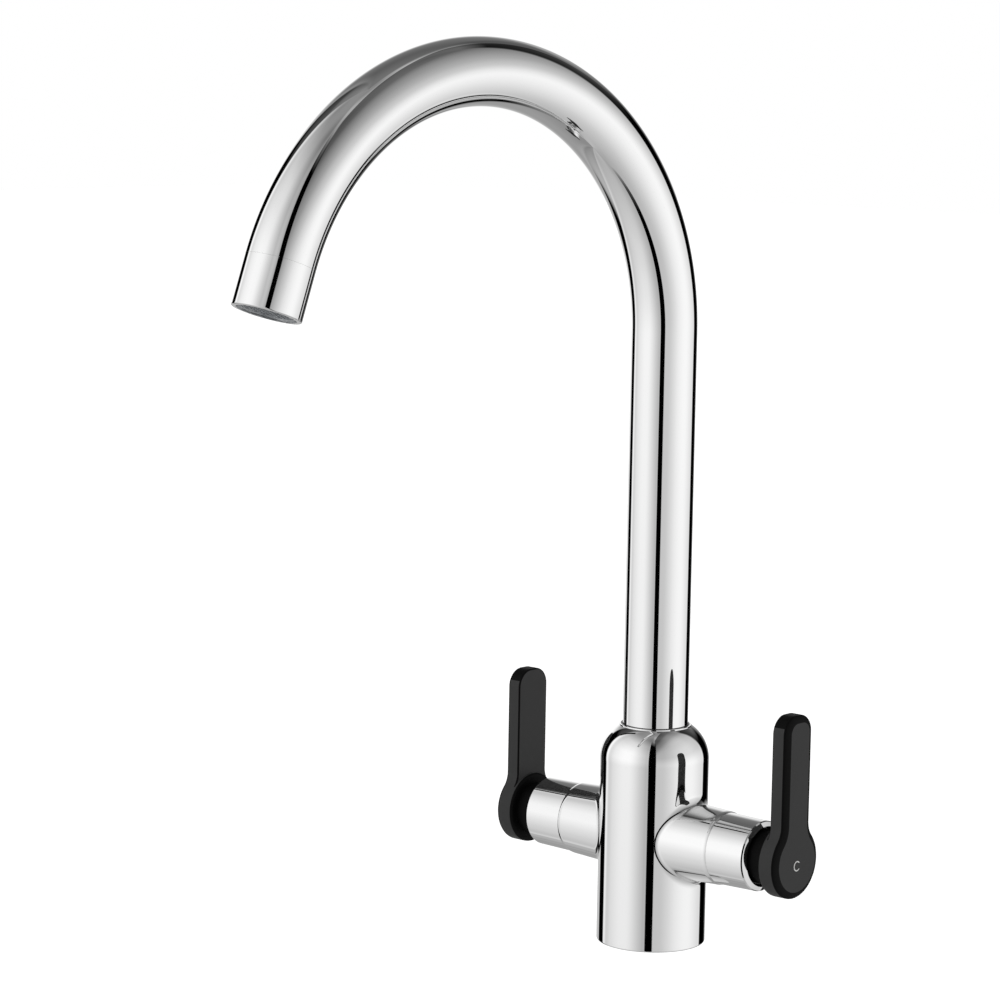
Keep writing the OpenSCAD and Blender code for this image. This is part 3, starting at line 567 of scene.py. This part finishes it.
def saddle_fillet(sizes, side):
    """The rounded corner round an arm's root: a ring whose section is an arc and a point inside."""
    fillet, around, steps = sizes.saddle_round, 256, 12
    overlap = 1.5 * MM       # how far the ring reaches into the metal on both sides
    taper = math.atan2(sizes.arm_root - sizes.arm_end, arm_rounding(sizes)[1])
    clear_selection()
    bpy.ops.mesh.primitive_torus_add(major_segments=around, minor_segments=steps + 2)
    ring = bpy.context.object
    places = []
    for index in range(around):
        turn = 2 * math.pi * index / around
        outward = Vector((0, math.cos(turn), math.sin(turn)))
        x = sizes.radius
        for _ in range(6):       # closes in on the place where the fillet touches both surfaces
            reach = sizes.arm_root - math.tan(taper) * x + fillet / math.cos(taper)
            x = math.sqrt((sizes.radius + fillet) ** 2 - (reach * outward.y) ** 2)
        centre = Vector((x, 0, 0)) + outward * reach
        to_body = Vector((-centre.x, -centre.y, 0)).normalized()
        to_arm = -outward * math.cos(taper) - Vector((math.sin(taper), 0, 0))
        places += [centre + fillet * to_body.slerp(to_arm, step / steps)
                   for step in range(steps + 1)]
        corner = fillet / math.cos(to_body.angle(to_arm) / 2)
        places.append(centre + (to_body + to_arm).normalized() * (corner + overlap))
    for vertex, place in zip(ring.data.vertices, places):
        vertex.co = (side * place.x, place.y, place.z + ARM_HEIGHT)
    bpy.ops.object.mode_set(mode="EDIT")
    weld_and_face_out()
    bpy.ops.object.mode_set(mode="OBJECT")
    return ring


def valve_pocket(sizes):
    """What the valve's seat, chamber and thread leave open inside an arm."""
    end = sizes.arm_reach + PAST
    bores = (
        # start of the bore and its radius
        (8.0 * MM, 4.5 * MM),      # waterway through the seat
        (15.0 * MM, 9.4 * MM),     # pocket
        (22.2 * MM, 11.2 * MM),    # water chamber
        (26.6 * MM, 9.4 * MM),     # pocket
        (31.0 * MM, 10.3 * MM),    # thread
    )
    pen = Pen(0, bores[0][0])
    for (start, radius), following in zip(bores, bores[1:] + ((end, 0),)):
        pen.line(radius, start)
        pen.line(radius, following[0])
    pen.line(0, end)
    return pen.lathe(96)


class TAP_OT_body(bpy.types.Operator):
    """Models the chromed body with its two arms, bores and hose inlets"""
    bl_idname = "tap.body"
    bl_label = "Body and arms"

    inlet_spacing: length("Inlet spacing", "Distance between the hose inlets", 16.0)
    inlet_forward: length("Inlet forward", "Inlets' distance in front of the centre", 4.5)
    inlet_radius: length("Inlet radius", "Tapping radius of the hose inlets", 4.5)
    inlet_depth: length("Inlet depth", "Depth of the inlets above the recess", 12.0)
    stud_radius: length("Stud radius", "Tapping radius of the fixing stud's hole", 3.4)
    stud_back: length("Stud back", "Stud's distance behind the centre", 9.5)
    stud_depth: length("Stud depth", "Depth of the stud's hole above the recess", 16.0)

    def execute(self, context):
        sizes = context.scene.tap_body
        body = name_piece(turned_body(sizes), "chromed_body")
        for side in SIDES:
            combine(body, settle(turned_arm(sizes), along_arm(side)), "UNION")
            combine(body, saddle_fillet(sizes, side), "UNION")
        for side in SIDES:
            combine(body, settle(valve_pocket(sizes), along_arm(side)), "DIFFERENCE")
            x = side * self.inlet_spacing / 2
            drill(body, self.inlet_radius, Vector((x, -self.inlet_forward, -PAST)),
                  Vector((x, -self.inlet_forward, sizes.recess_depth + self.inlet_depth)))
        drill(body, self.stud_radius, Vector((0, self.stud_back, -PAST)),
              Vector((0, self.stud_back, sizes.recess_depth + self.stud_depth)))
        screw_low, screw_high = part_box("spout_keeping_screw")
        screw_z = (screw_low.z + screw_high.z) / 2
        clearance = 0.02 * MM
        drill(body, (screw_high.z - screw_low.z) / 2 + clearance,
              Vector((0, sizes.socket_radius - PAST, screw_z)),
              Vector((0, sizes.radius + PAST, screw_z)))
        shade_smooth(body)
        finish_piece(body, "chrome_plate", "tap", "tap_body")
        return {"FINISHED"}


# ---------------------------------------------------------------- sleeves

class TAP_OT_sleeves(bpy.types.Operator):
    """Models the two turned sleeves that cover the valves"""
    bl_idname = "tap.sleeves"
    bl_label = "Sleeves"

    def execute(self, context):
        sizes = context.scene.tap_sleeves
        start, end = BODY_HIGH.x + sizes.seam, SLEEVE_HIGH.x
        web_end = sizes.web_start + sizes.web
        soft, mouth = sizes.seam_round, end - sizes.mouth_depth
        pen = Pen(sizes.bore, start)
        pen.line(sizes.inner_radius - soft, start)
        pen.arc(sizes.inner_radius - soft, start + soft, math.radians(90), 4)
        pen.line(sizes.outer_radius, mouth - sizes.edge_depth, rows=4)
        pen.line(sizes.outer_radius - sizes.edge_width, mouth)
        pen.line(sizes.bore, end)
        pen.line(sizes.bore, web_end)
        pen.line(sizes.web_bore, web_end)
        pen.line(sizes.web_bore, sizes.web_start)
        pen.line(sizes.bore, sizes.web_start)
        pen.line(sizes.bore, start)
        cold = settle(name_piece(pen.lathe(256), "cold_chromed_sleeve"), along_arm(1))
        pieces = {"cold": cold, "hot": copy_mirrored(cold, "hot_chromed_sleeve")}
        for side, piece in pieces.items():
            shade_smooth(piece, MOUTH_CREASE)
            finish_piece(piece, "chrome_plate", "tap", f"{side}_sleeve")
        return {"FINISHED"}


# ---------------------------------------------------------------- levers

SHADED_TIP_SHARE = 0.62          # share of the tip's corners, from the top, that has the painted shade coat


def lever_outline(sizes, disc_r, tip):
    """Draws the round base and the blade that sweeps out of it, as two faces that share an arc."""
    half_w = sizes.blade_width / 2
    corner, sweep = sizes.blade_corner, sizes.blade_sweep
    sweep_x = half_w + sweep
    sweep_z = math.sqrt((disc_r + sweep) ** 2 - sweep_x ** 2)
    meet = math.atan2(sweep_z, sweep_x)       # where base and sweep touch
    pen = Pen(disc_r * math.cos(meet), disc_r * math.sin(meet))
    pen.arc(0, 0, math.pi - 2 * meet, 28)
    pen.arc(0, 0, math.pi + 2 * meet, 76)
    bpy.ops.mesh.select_all(action="SELECT")
    bpy.ops.mesh.remove_doubles(threshold=TINY)
    bpy.ops.mesh.edge_face_add()
    start = Vector((pen.x, 0, pen.z))
    select_parts(pen.piece, "vertices", lambda place: (place - start).length < TINY)
    pen.arc(sweep_x, sweep_z, -meet, 14)
    pen.line(half_w, tip - corner)
    pen.arc(half_w - corner, tip - corner, math.radians(90), 20)
    pen.line(corner - half_w, tip)
    pen.arc(corner - half_w, tip - corner, math.radians(90), 20)
    pen.line(-half_w, sweep_z)
    pen.arc(-sweep_x, sweep_z, -meet, 14)
    bpy.ops.mesh.select_all(action="SELECT")
    bpy.ops.mesh.remove_doubles(threshold=TINY)
    select_parts(pen.piece, "vertices", lambda place: place.z > start.z - TINY)
    bpy.ops.mesh.edge_face_add()
    return pen.piece


def cast_lever(sizes):
    """One lever, lying in the XZ plane with its outer face towards -Y."""
    disc_r = ARM_HEIGHT - LEVER_LOW.z
    tip = LEVER_HIGH.z - ARM_HEIGHT
    blade_x = LEVER_HIGH.x - sizes.thickness
    band = sizes.thickness - sizes.bevel_depth - sizes.inlay_clear
    hub_length = blade_x - sizes.disc_back - LEVER_LOW.x
    painted_shade_from = tip - sizes.blade_corner * SHADED_TIP_SHARE
    lever = lever_outline(sizes, disc_r, tip)
    for finish in (satin_black_coat, dull_black_coat):
        lever.data.materials.append(made_once(finish))
    bpy.ops.mesh.select_mode(type="FACE")
    bpy.ops.mesh.select_all(action="SELECT")
    extrude_by(0, -band, 0)
    select_parts(lever, "polygons", lambda centre: centre.y < TINY - band)
    bpy.ops.mesh.dissolve_faces()
    weld_and_face_out()
    select_parts(lever, "polygons", lambda centre: centre.y < TINY - band)
    bpy.ops.mesh.inset(thickness=sizes.bevel, depth=sizes.bevel_depth)
    # painted shade: the dark, dull coat goes on the bevel, and on the side band round the tip
    bpy.context.object.active_material_index = 1
    for test in (lambda centre: TINY - band - sizes.bevel_depth < centre.y < -band - TINY,
                 lambda centre: -band < centre.y < -TINY and centre.z > painted_shade_from):
        select_parts(lever, "polygons", test)
        bpy.ops.object.material_slot_assign()
    # the bevel's outer edge and the blade's rear edge are softened, and the roundings take the
    # painted shade coat
    for test in (lambda place: abs(place.y + band) < TINY,
                 lambda place: abs(place.y) < TINY and place.length > disc_r + TINY):
        select_parts(lever, "vertices", test)
        bpy.ops.mesh.select_mode(type="EDGE")
        bpy.ops.mesh.bevel(offset=sizes.edge_soft, segments=3, affect="EDGES", material=1)
    # the round base, its rear rounding and the hub
    select_parts(lever, "polygons", lambda centre: centre.y > -TINY and abs(centre.z) < disc_r / 4)
    extrude_by(0, sizes.disc_back, 0)
    bpy.ops.mesh.bevel(offset=sizes.disc_round, segments=8, affect="EDGES")
    select_parts(lever, "polygons",
                 lambda centre: centre.y > sizes.disc_back - TINY and centre.length < disc_r / 4)
    bpy.ops.mesh.inset(thickness=disc_r - sizes.disc_round - sizes.hub_radius)
    extrude_by(0, hub_length, 0)
    weld_and_face_out()
    # painted shade: the hub, the base's rear face and the back of its rounding take the dark, dull
    # coat
    select_parts(lever, "polygons", lambda centre: centre.y > sizes.disc_back / 2)
    bpy.ops.object.material_slot_assign()
    bpy.ops.object.mode_set(mode="OBJECT")
    hub_end = Vector((0, sizes.disc_back + hub_length + PAST, 0))
    socket_end = Vector((0, sizes.socket_wall - sizes.thickness, 0))
    drill(lever, sizes.socket_flats / math.sqrt(3), socket_end, hub_end, vertices=6)
    screw_low, screw_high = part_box("cold_lever_screw")
    screw_y = blade_x - (screw_low.x + screw_high.x) / 2
    drill(lever, sizes.screw_radius, Vector((0, screw_y, 0)),
          Vector((0, screw_y, -sizes.hub_radius - PAST)))
    return settle(lever, Matrix.Translation((blade_x, 0, ARM_HEIGHT))
                  @ Matrix.Rotation(math.radians(90), 4, "Z"))


class TAP_OT_levers(bpy.types.Operator):
    """Models the cold lever and mirrors it for the hot side"""
    bl_idname = "tap.levers"
    bl_label = "Levers"

    def execute(self, context):
        cold = name_piece(cast_lever(context.scene.tap_levers), "cold_coated_lever")
        pieces = {"cold": cold, "hot": copy_mirrored(cold, "hot_coated_lever")}
        for side, piece in pieces.items():
            shade_smooth(piece)
            finish_piece(piece, "black_lever", f"{side}_handle", f"{side}_lever")
        return {"FINISHED"}


# ---------------------------------------------------------------- spout

def spout_turn(sizes):
    """Turns the spout from straight ahead to where it stands."""
    return Matrix.Rotation(-sizes.turn, 4, "Z")


def bend_height(sizes):
    """Height of the swan neck's centre above the deck."""
    return TUBE_HIGH.z - sizes.bend_radius - sizes.radius


class TAP_OT_spout_tube(bpy.types.Operator):
    """Models the riser and the swan neck as one bent tube"""
    bl_idname = "tap.spout_tube"
    bl_label = "Spout tube"

    def execute(self, context):
        sizes = context.scene.tap_spout
        riser = bend_height(sizes) - TUBE_LOW.z
        clear_selection()
        bpy.ops.mesh.primitive_circle_add(vertices=160, radius=sizes.radius,
                                          location=(0, 0, TUBE_LOW.z))
        tube = name_piece(bpy.context.object, "chromed_spout")
        settle(tube)
        bpy.ops.object.mode_set(mode="EDIT")
        bpy.ops.mesh.select_mode(type="EDGE")
        bpy.ops.mesh.select_all(action="SELECT")
        for share in (0.01, 0.97, 0.02):      # short rows at both ends keep the shading even
            extrude_by(0, 0, riser * share)
        bpy.ops.mesh.spin(steps=150, angle=-sizes.bend_angle, axis=(1, 0, 0),
                          center=(0, -sizes.bend_radius, bend_height(sizes)))
        weld_and_face_out()
        bpy.ops.object.mode_set(mode="OBJECT")
        apply_modifier(tube, "SOLIDIFY", thickness=sizes.wall, offset=-1.0, use_even_offset=True)
        settle(tube, spout_turn(sizes))
        shade_smooth(tube)
        finish_piece(tube, "chrome_plate", "spout", "spout_tube")
        return {"FINISHED"}


class TAP_OT_outlet(bpy.types.Operator):
    """Models the straight outlet piece that holds the aerator"""
    bl_idname = "tap.outlet"
    bl_label = "Outlet piece"

    def execute(self, context):
        sizes = context.scene.tap_spout
        radius, end = sizes.radius, sizes.outlet_length
        groove, lip = sizes.seam_groove, sizes.lip_round
        seat = end - sizes.aerator_depth
        pen = Pen(sizes.bore, -sizes.outlet_plug)
        pen.line(sizes.plug_radius, -sizes.outlet_plug)
        pen.line(sizes.plug_radius, 0)
        pen.line(radius - groove, 0)
        pen.line(radius, groove)
        pen.line(radius, end - lip, rows=2)
        pen.arc(radius - lip, end - lip, math.radians(90), 8)
        pen.line(sizes.aerator_radius, end)
        pen.line(sizes.aerator_radius, seat)
        pen.line(sizes.bore, seat)
        pen.line(sizes.bore, -sizes.outlet_plug)
        outlet = name_piece(pen.lathe(192), "chromed_outlet")
        bend = sizes.bend_angle
        seam = Vector((0, sizes.bend_radius * (math.cos(bend) - 1),
                       bend_height(sizes) + sizes.bend_radius * math.sin(bend)))
        settle(outlet, spout_turn(sizes) @ Matrix.Translation(seam) @ Matrix.Rotation(bend, 4, "X"))
        shade_smooth(outlet)
        finish_piece(outlet, "chrome_plate", "spout", "outlet_piece")
        return {"FINISHED"}


# ---------------------------------------------------------------- carried-over pieces

class TAP_OT_inner_pieces(bpy.types.Operator):
    """Gives every solid that stays as it is the finish of its record slot"""
    bl_idname = "tap.inner_pieces"
    bl_label = "Inner pieces and letters"

    def execute(self, context):
        for part in frame["record"]["subparts"]:
            node = frame["nodes"][part["node"]]
            material = finish_for(part["material_slot"])
            if not node.material_slots:
                node.data.materials.append(material)
            for holder in node.material_slots:
                holder.material = material
        return {"FINISHED"}


# ---------------------------------------------------------------- studio

# What the tap sees of the studio, as profiles in degrees of elevation or of bearing, which
# counts from the camera to the right. Each gives its axis, its interpolation and its stops.
PROFILE_SPANS = {"elevation": 180, "bearing": 360}
STUDIO_PROFILES = {
    # brightness of each wall at its brightest bearing
    "left_wall": ("elevation", "CARDINAL", {
        -75: 0.47, -45: 0.65, -30: 0.75, -12: 0.88, 14: 1.03, 38: 0.84, 52: 0.65, 67: 0.33,
        85: 0.26}),
    "right_wall": ("elevation", "CARDINAL", {
        -75: 0.50, -45: 0.70, -8: 0.95, 5: 0.90, 15: 0.76, 25: 0.72, 35: 0.68, 45: 0.61,
        55: 0.57, 67: 0.51, 76: 0.46, 85: 0.26}),
    "back_wall": ("elevation", "CARDINAL", {
        -75: 0.27, -50: 0.32, -28: 0.35, -14: 0.54, -4: 0.9, 12: 0.97, 20: 0.62, 28: 0.25,
        35: 0.17, 43: 0.14, 52: 0.115, 60: 0.115, 75: 0.15, 85: 0.17}),
    # which wall shows: red is the left one, green the right one, blue the back one
    "wall_choice": ("bearing", "EASE", {
        -155: BLUE, -130: RED, -10: RED, 2: GREEN, 135: GREEN, 160: BLUE}),
    # how the walls fall off
    "falloff": ("bearing", "CARDINAL", {
        -150: 1.0, -121: 1.0, -117: 0.98, -111: 0.75, -98: 0.85, -68: 1.0, -45: 0.92,
        -20: 0.58, -12: 0.55, 4: 0.59, 25: 0.66, 50: 0.88, 85: 1.0, 115: 0.83, 122: 0.8,
        126: 0.9, 152: 1.0}),
    # how much of that falloff counts: overhead and underneath the light evens out
    "falloff_weight": ("elevation", "LINEAR", {
        -75: 0.35, -60: 0.45, -45: 0.65, -28: 0.95, -15: 1.0, 67: 1.0, 78: 0.05}),
    # darkness of the black flag at the left, and where it counts
    "left_flag": ("bearing", "LINEAR", {-147: 0, -144: 1, -123.5: 1, -121: 0}),
    "left_flag_weight": ("elevation", "LINEAR", {
        -75: 0.35, -48: 0.3, -40: 0.35, -31: 1, 28: 1, 36: 0.94, 52: 0.9, 58: 0.72, 68: 0.42,
        80: 0.1}),
    # darkness of the one at the right below the horizon, at the tap's own height and above it
    "right_flag_low": ("bearing", "LINEAR", {
        128.5: 0, 130.5: 1, 137: 1, 139: 0, 148: 0, 150.5: 1, 159: 1, 164: 0}),
    "right_flag_level": ("bearing", "LINEAR", {
        125: 0, 127.5: 1, 152: 1, 157: 0.94, 166: 0.75, 174: 0.5, 179: 0}),
    "right_flag_high": ("bearing", "LINEAR", {
        123: 0, 127: 0.85, 130: 0.96, 140: 0.9, 149: 0.75, 158: 0.4, 168: 0}),
    # which of these counts: red is the low one, green the level one, blue the high one
    "right_flag_choice": ("elevation", "LINEAR", {
        -85: BLACK, -62: (0.4, 0, 0, 1), -48: RED, -22: RED, -19: GREEN, 16: GREEN, 26: BLUE,
        50: BLUE, 58: BLACK}),
}
FLOOR_GLOW = 0.79        # what the floor adds for the camera, so that it renders as plain white

# Black cards close to the tap: a corner, the edge across and the edge along, all in metres, and
# the cover along both edges. They work from one side only.
DARK_CARDS = {
    "front_card": (
        (0.570, -0.614, -2.40), (-0.283, 0.035, 0), (0, 0, 4.0),
        {0: 0, 0.05: 1, 0.95: 1, 1: 0}, {0: 0, 0.35: 0.88, 0.46: 1, 0.84: 1, 0.92: 0.6, 1: 0}),
    "right_valance": (
        (-0.1634, 0.9117, 0.33), (0.729, -1.645, 0), (0, 0, 2.0),
        {0: 0, 0.08: 1, 0.92: 1, 1: 0},
        {0: 0, 0.035: 0.07, 0.07: 0.21, 0.11: 0.38, 0.16: 0.46, 0.235: 0.57, 0.335: 0.74,
         0.5: 0.76, 0.9: 0.76, 1: 0}),
    "overhead_bar": (
        (-0.30, -0.059, 0.30), (0, 0.021, 0), (0.20, 0, 0),
        {0: 0, 0.1: 1, 0.9: 1, 1: 0}, {0: 0, 0.05: 1, 0.95: 1, 1: 0}),
}


def studio_world(studio):
    """White to the camera, and softly lit walls to everything else."""
    world = bpy.data.worlds.new("product_studio")
    bpy.context.scene.world = world
    world.use_nodes = True
    tree = world.node_tree
    tree.nodes.clear()
    place = add_node(tree, "ShaderNodeTexCoord")
    turned = add_node(tree, "ShaderNodeMapping",
                      {"Vector": place.outputs["Generated"], "Rotation": (0, 0, -studio.azimuth)},
                      vector_type="POINT")
    axes = add_node(tree, "ShaderNodeSeparateXYZ", {0: turned})
    minus_y = add_node(tree, "ShaderNodeMath", {0: axes.outputs["Y"], 1: -1.0},
                       operation="MULTIPLY")
    angles = {
        "bearing": add_node(tree, "ShaderNodeMath", {0: axes.outputs["X"], 1: minus_y},
                            operation="ARCTAN2"),
        "elevation": add_node(tree, "ShaderNodeMath", {0: axes.outputs["Z"]},
                              operation="ARCSINE"),
    }
    for axis, span in PROFILE_SPANS.items():        # from radians to a place on the ramps
        angles[axis] = add_node(tree, "ShaderNodeMath",
                                {0: angles[axis], 1: 1 / math.radians(span), 2: 0.5},
                                operation="MULTIPLY_ADD")
    ramps = {}
    for name, (axis, interpolation, profile) in STUDIO_PROFILES.items():
        ramps[name] = add_node(tree, "ShaderNodeValToRGB", {"Fac": angles[axis]})
        span = PROFILE_SPANS[axis]
        stops = {(degrees + span / 2) / span: value for degrees, value in profile.items()}
        fill_ramp(ramps[name], stops, interpolation)
    walls = add_node(tree, "ShaderNodeCombineXYZ", {
        0: ramps["left_wall"], 1: ramps["right_wall"], 2: ramps["back_wall"]})
    wall = add_node(tree, "ShaderNodeVectorMath", {0: walls, 1: ramps["wall_choice"]},
                    operation="DOT_PRODUCT")
    falloff = add_node(tree, "ShaderNodeMath", {0: ramps["falloff"], 1: ramps["falloff_weight"]},
                       operation="POWER")
    lit = add_node(tree, "ShaderNodeMath", {0: wall.outputs["Value"], 1: falloff},
                   operation="MULTIPLY")
    left_dark = add_node(tree, "ShaderNodeMath",
                         {0: ramps["left_flag"], 1: ramps["left_flag_weight"]},
                         operation="MULTIPLY")
    flags = add_node(tree, "ShaderNodeCombineXYZ", {
        0: ramps["right_flag_low"], 1: ramps["right_flag_level"], 2: ramps["right_flag_high"]})
    right_dark = add_node(tree, "ShaderNodeVectorMath",
                          {0: flags, 1: ramps["right_flag_choice"]}, operation="DOT_PRODUCT")
    for dark in (left_dark, right_dark.outputs["Value"]):
        spared = add_node(tree, "ShaderNodeMath", {0: 1.0, 1: dark}, operation="SUBTRACT")
        lit = add_node(tree, "ShaderNodeMath", {0: lit, 1: spared}, operation="MULTIPLY")
    lit = add_node(tree, "ShaderNodeMath", {0: lit, 1: studio.wall_light}, operation="MULTIPLY")
    walls_light = add_node(tree, "ShaderNodeBackground", {"Color": WHITE, "Strength": lit})
    white = add_node(tree, "ShaderNodeBackground", {"Color": WHITE, "Strength": 1.0})
    path = add_node(tree, "ShaderNodeLightPath")
    seen = add_node(tree, "ShaderNodeMixShader",
                    {0: path.outputs["Is Camera Ray"], 1: walls_light, 2: white})
    add_node(tree, "ShaderNodeOutputWorld", {"Surface": seen})


def card_material(name, across, along):
    """Black card whose cover follows a ramp across it and another along it."""
    material, tree = new_material(name)
    place = add_node(tree, "ShaderNodeTexCoord")
    axes = add_node(tree, "ShaderNodeSeparateXYZ", {0: place.outputs["Generated"]})
    ramps = {}
    for socket, stops in enumerate((across, along)):
        ramps[socket] = add_node(tree, "ShaderNodeValToRGB", {"Fac": axes.outputs[socket]})
        fill_ramp(ramps[socket], stops, "LINEAR")
    cover = add_node(tree, "ShaderNodeMath", ramps, operation="MULTIPLY")
    facing = add_node(tree, "ShaderNodeNewGeometry")
    front = add_node(tree, "ShaderNodeMath", {0: 1.0, 1: facing.outputs["Backfacing"]},
                     operation="SUBTRACT")
    cover = add_node(tree, "ShaderNodeMath", {0: cover, 1: front}, operation="MULTIPLY")
    clear = add_node(tree, "ShaderNodeBsdfTransparent")
    black = add_node(tree, "ShaderNodeEmission", {"Color": BLACK, "Strength": 0.0})
    seen = add_node(tree, "ShaderNodeMixShader", {0: cover, 1: clear, 2: black})
    add_node(tree, "ShaderNodeOutputMaterial", {"Surface": seen})
    return material


def dark_card(name):
    """One black card that shows in reflections and does nothing else."""
    corner, across, along, *covers = DARK_CARDS[name]
    corner, across, along = Vector(corner), Vector(across), Vector(along)
    clear_selection()
    bpy.ops.mesh.primitive_plane_add(size=1)
    card = name_piece(bpy.context.object, name)
    place = Matrix((across, along, across.cross(along).normalized())).transposed().to_4x4()
    place.translation = corner + (across + along) / 2
    card.matrix_world = place
    card.data.materials.append(card_material(name, *covers))
    for ray in ("camera", "diffuse", "transmission", "volume_scatter", "shadow"):
        setattr(card, f"visible_{ray}", False)


def floor_material():
    """Matt white floor that renders as plain white and keeps a soft shadow."""
    material, tree = new_material("white_floor")
    path = add_node(tree, "ShaderNodeLightPath")
    own_light = add_node(tree, "ShaderNodeMath",
                         {0: path.outputs["Is Camera Ray"], 1: FLOOR_GLOW}, operation="MULTIPLY")
    glow = add_node(tree, "ShaderNodeEmission", {"Color": WHITE, "Strength": own_light})
    matt = add_node(tree, "ShaderNodeBsdfDiffuse", {"Color": (0.8, 0.8, 0.8, 1)})
    both = add_node(tree, "ShaderNodeAddShader", {0: glow, 1: matt})
    add_node(tree, "ShaderNodeOutputMaterial", {"Surface": both})
    return material


class TAP_OT_studio(bpy.types.Operator):
    """Sets up the camera, the white floor, the lit walls and the dark cards"""
    bl_idname = "tap.studio"
    bl_label = "Studio"

    floor_size: length("Floor size", "Side of the square floor", 12000.0)

    def execute(self, context):
        studio = context.scene.tap_studio
        place = Vector((math.sin(studio.azimuth) * studio.distance,
                        -math.cos(studio.azimuth) * studio.distance, studio.height))
        clear_selection()
        bpy.ops.object.camera_add(location=place)
        camera = bpy.context.object
        aim = (Matrix.Rotation(studio.yaw, 4, "Z")
               @ Matrix.Rotation(math.radians(90) - studio.pitch, 4, "X")
               @ Matrix.Rotation(studio.roll, 4, "Z"))
        camera.matrix_world = Matrix.Translation(place) @ aim
        camera.data.sensor_width = 36      # millimetres, as the focal length
        camera.data.lens = studio.lens
        camera.data.clip_end = 30          # metres, past the far edge of the floor
        context.scene.camera = camera
        context.scene.view_settings.view_transform = "Standard"
        clear_selection()
        bpy.ops.mesh.primitive_plane_add(size=self.floor_size)
        floor = name_piece(bpy.context.object, "floor")
        floor.data.materials.append(floor_material())
        floor.visible_glossy = False
        studio_world(studio)
        for name in DARK_CARDS:
            dark_card(name)
        return {"FINISHED"}


# ---------------------------------------------------------------- add-on

STEPS = (TAP_OT_body, TAP_OT_sleeves, TAP_OT_levers, TAP_OT_spout_tube, TAP_OT_outlet,
         TAP_OT_inner_pieces, TAP_OT_studio)


class TAP_PT_panel(bpy.types.Panel):
    """Lists the tap's steps and their sizes"""
    bl_idname = "TAP_PT_panel"
    bl_label = "Kitchen tap"
    bl_space_type = "VIEW_3D"
    bl_region_type = "UI"
    bl_category = "Tap"

    def draw(self, context):
        for step in STEPS:
            self.layout.operator(step.bl_idname)
        for name, group in SETTINGS.items():
            box = self.layout.box()
            box.label(text=group.__doc__)
            for key in group.__annotations__:
                box.prop(getattr(context.scene, name), key)


CLASSES = (*SETTINGS.values(), *STEPS, TAP_PT_panel)


def register():
    for cls in CLASSES:
        bpy.utils.register_class(cls)
    for name, group in SETTINGS.items():
        setattr(bpy.types.Scene, name, PointerProperty(type=group))


def unregister():
    for name in SETTINGS:
        delattr(bpy.types.Scene, name)
    for cls in reversed(CLASSES):
        bpy.utils.unregister_class(cls)


def main():
    register()
    for step in STEPS:
        group, _, call = step.bl_idname.partition(".")
        getattr(getattr(bpy.ops, group), call)()


if __name__ == "__main__":
    main()
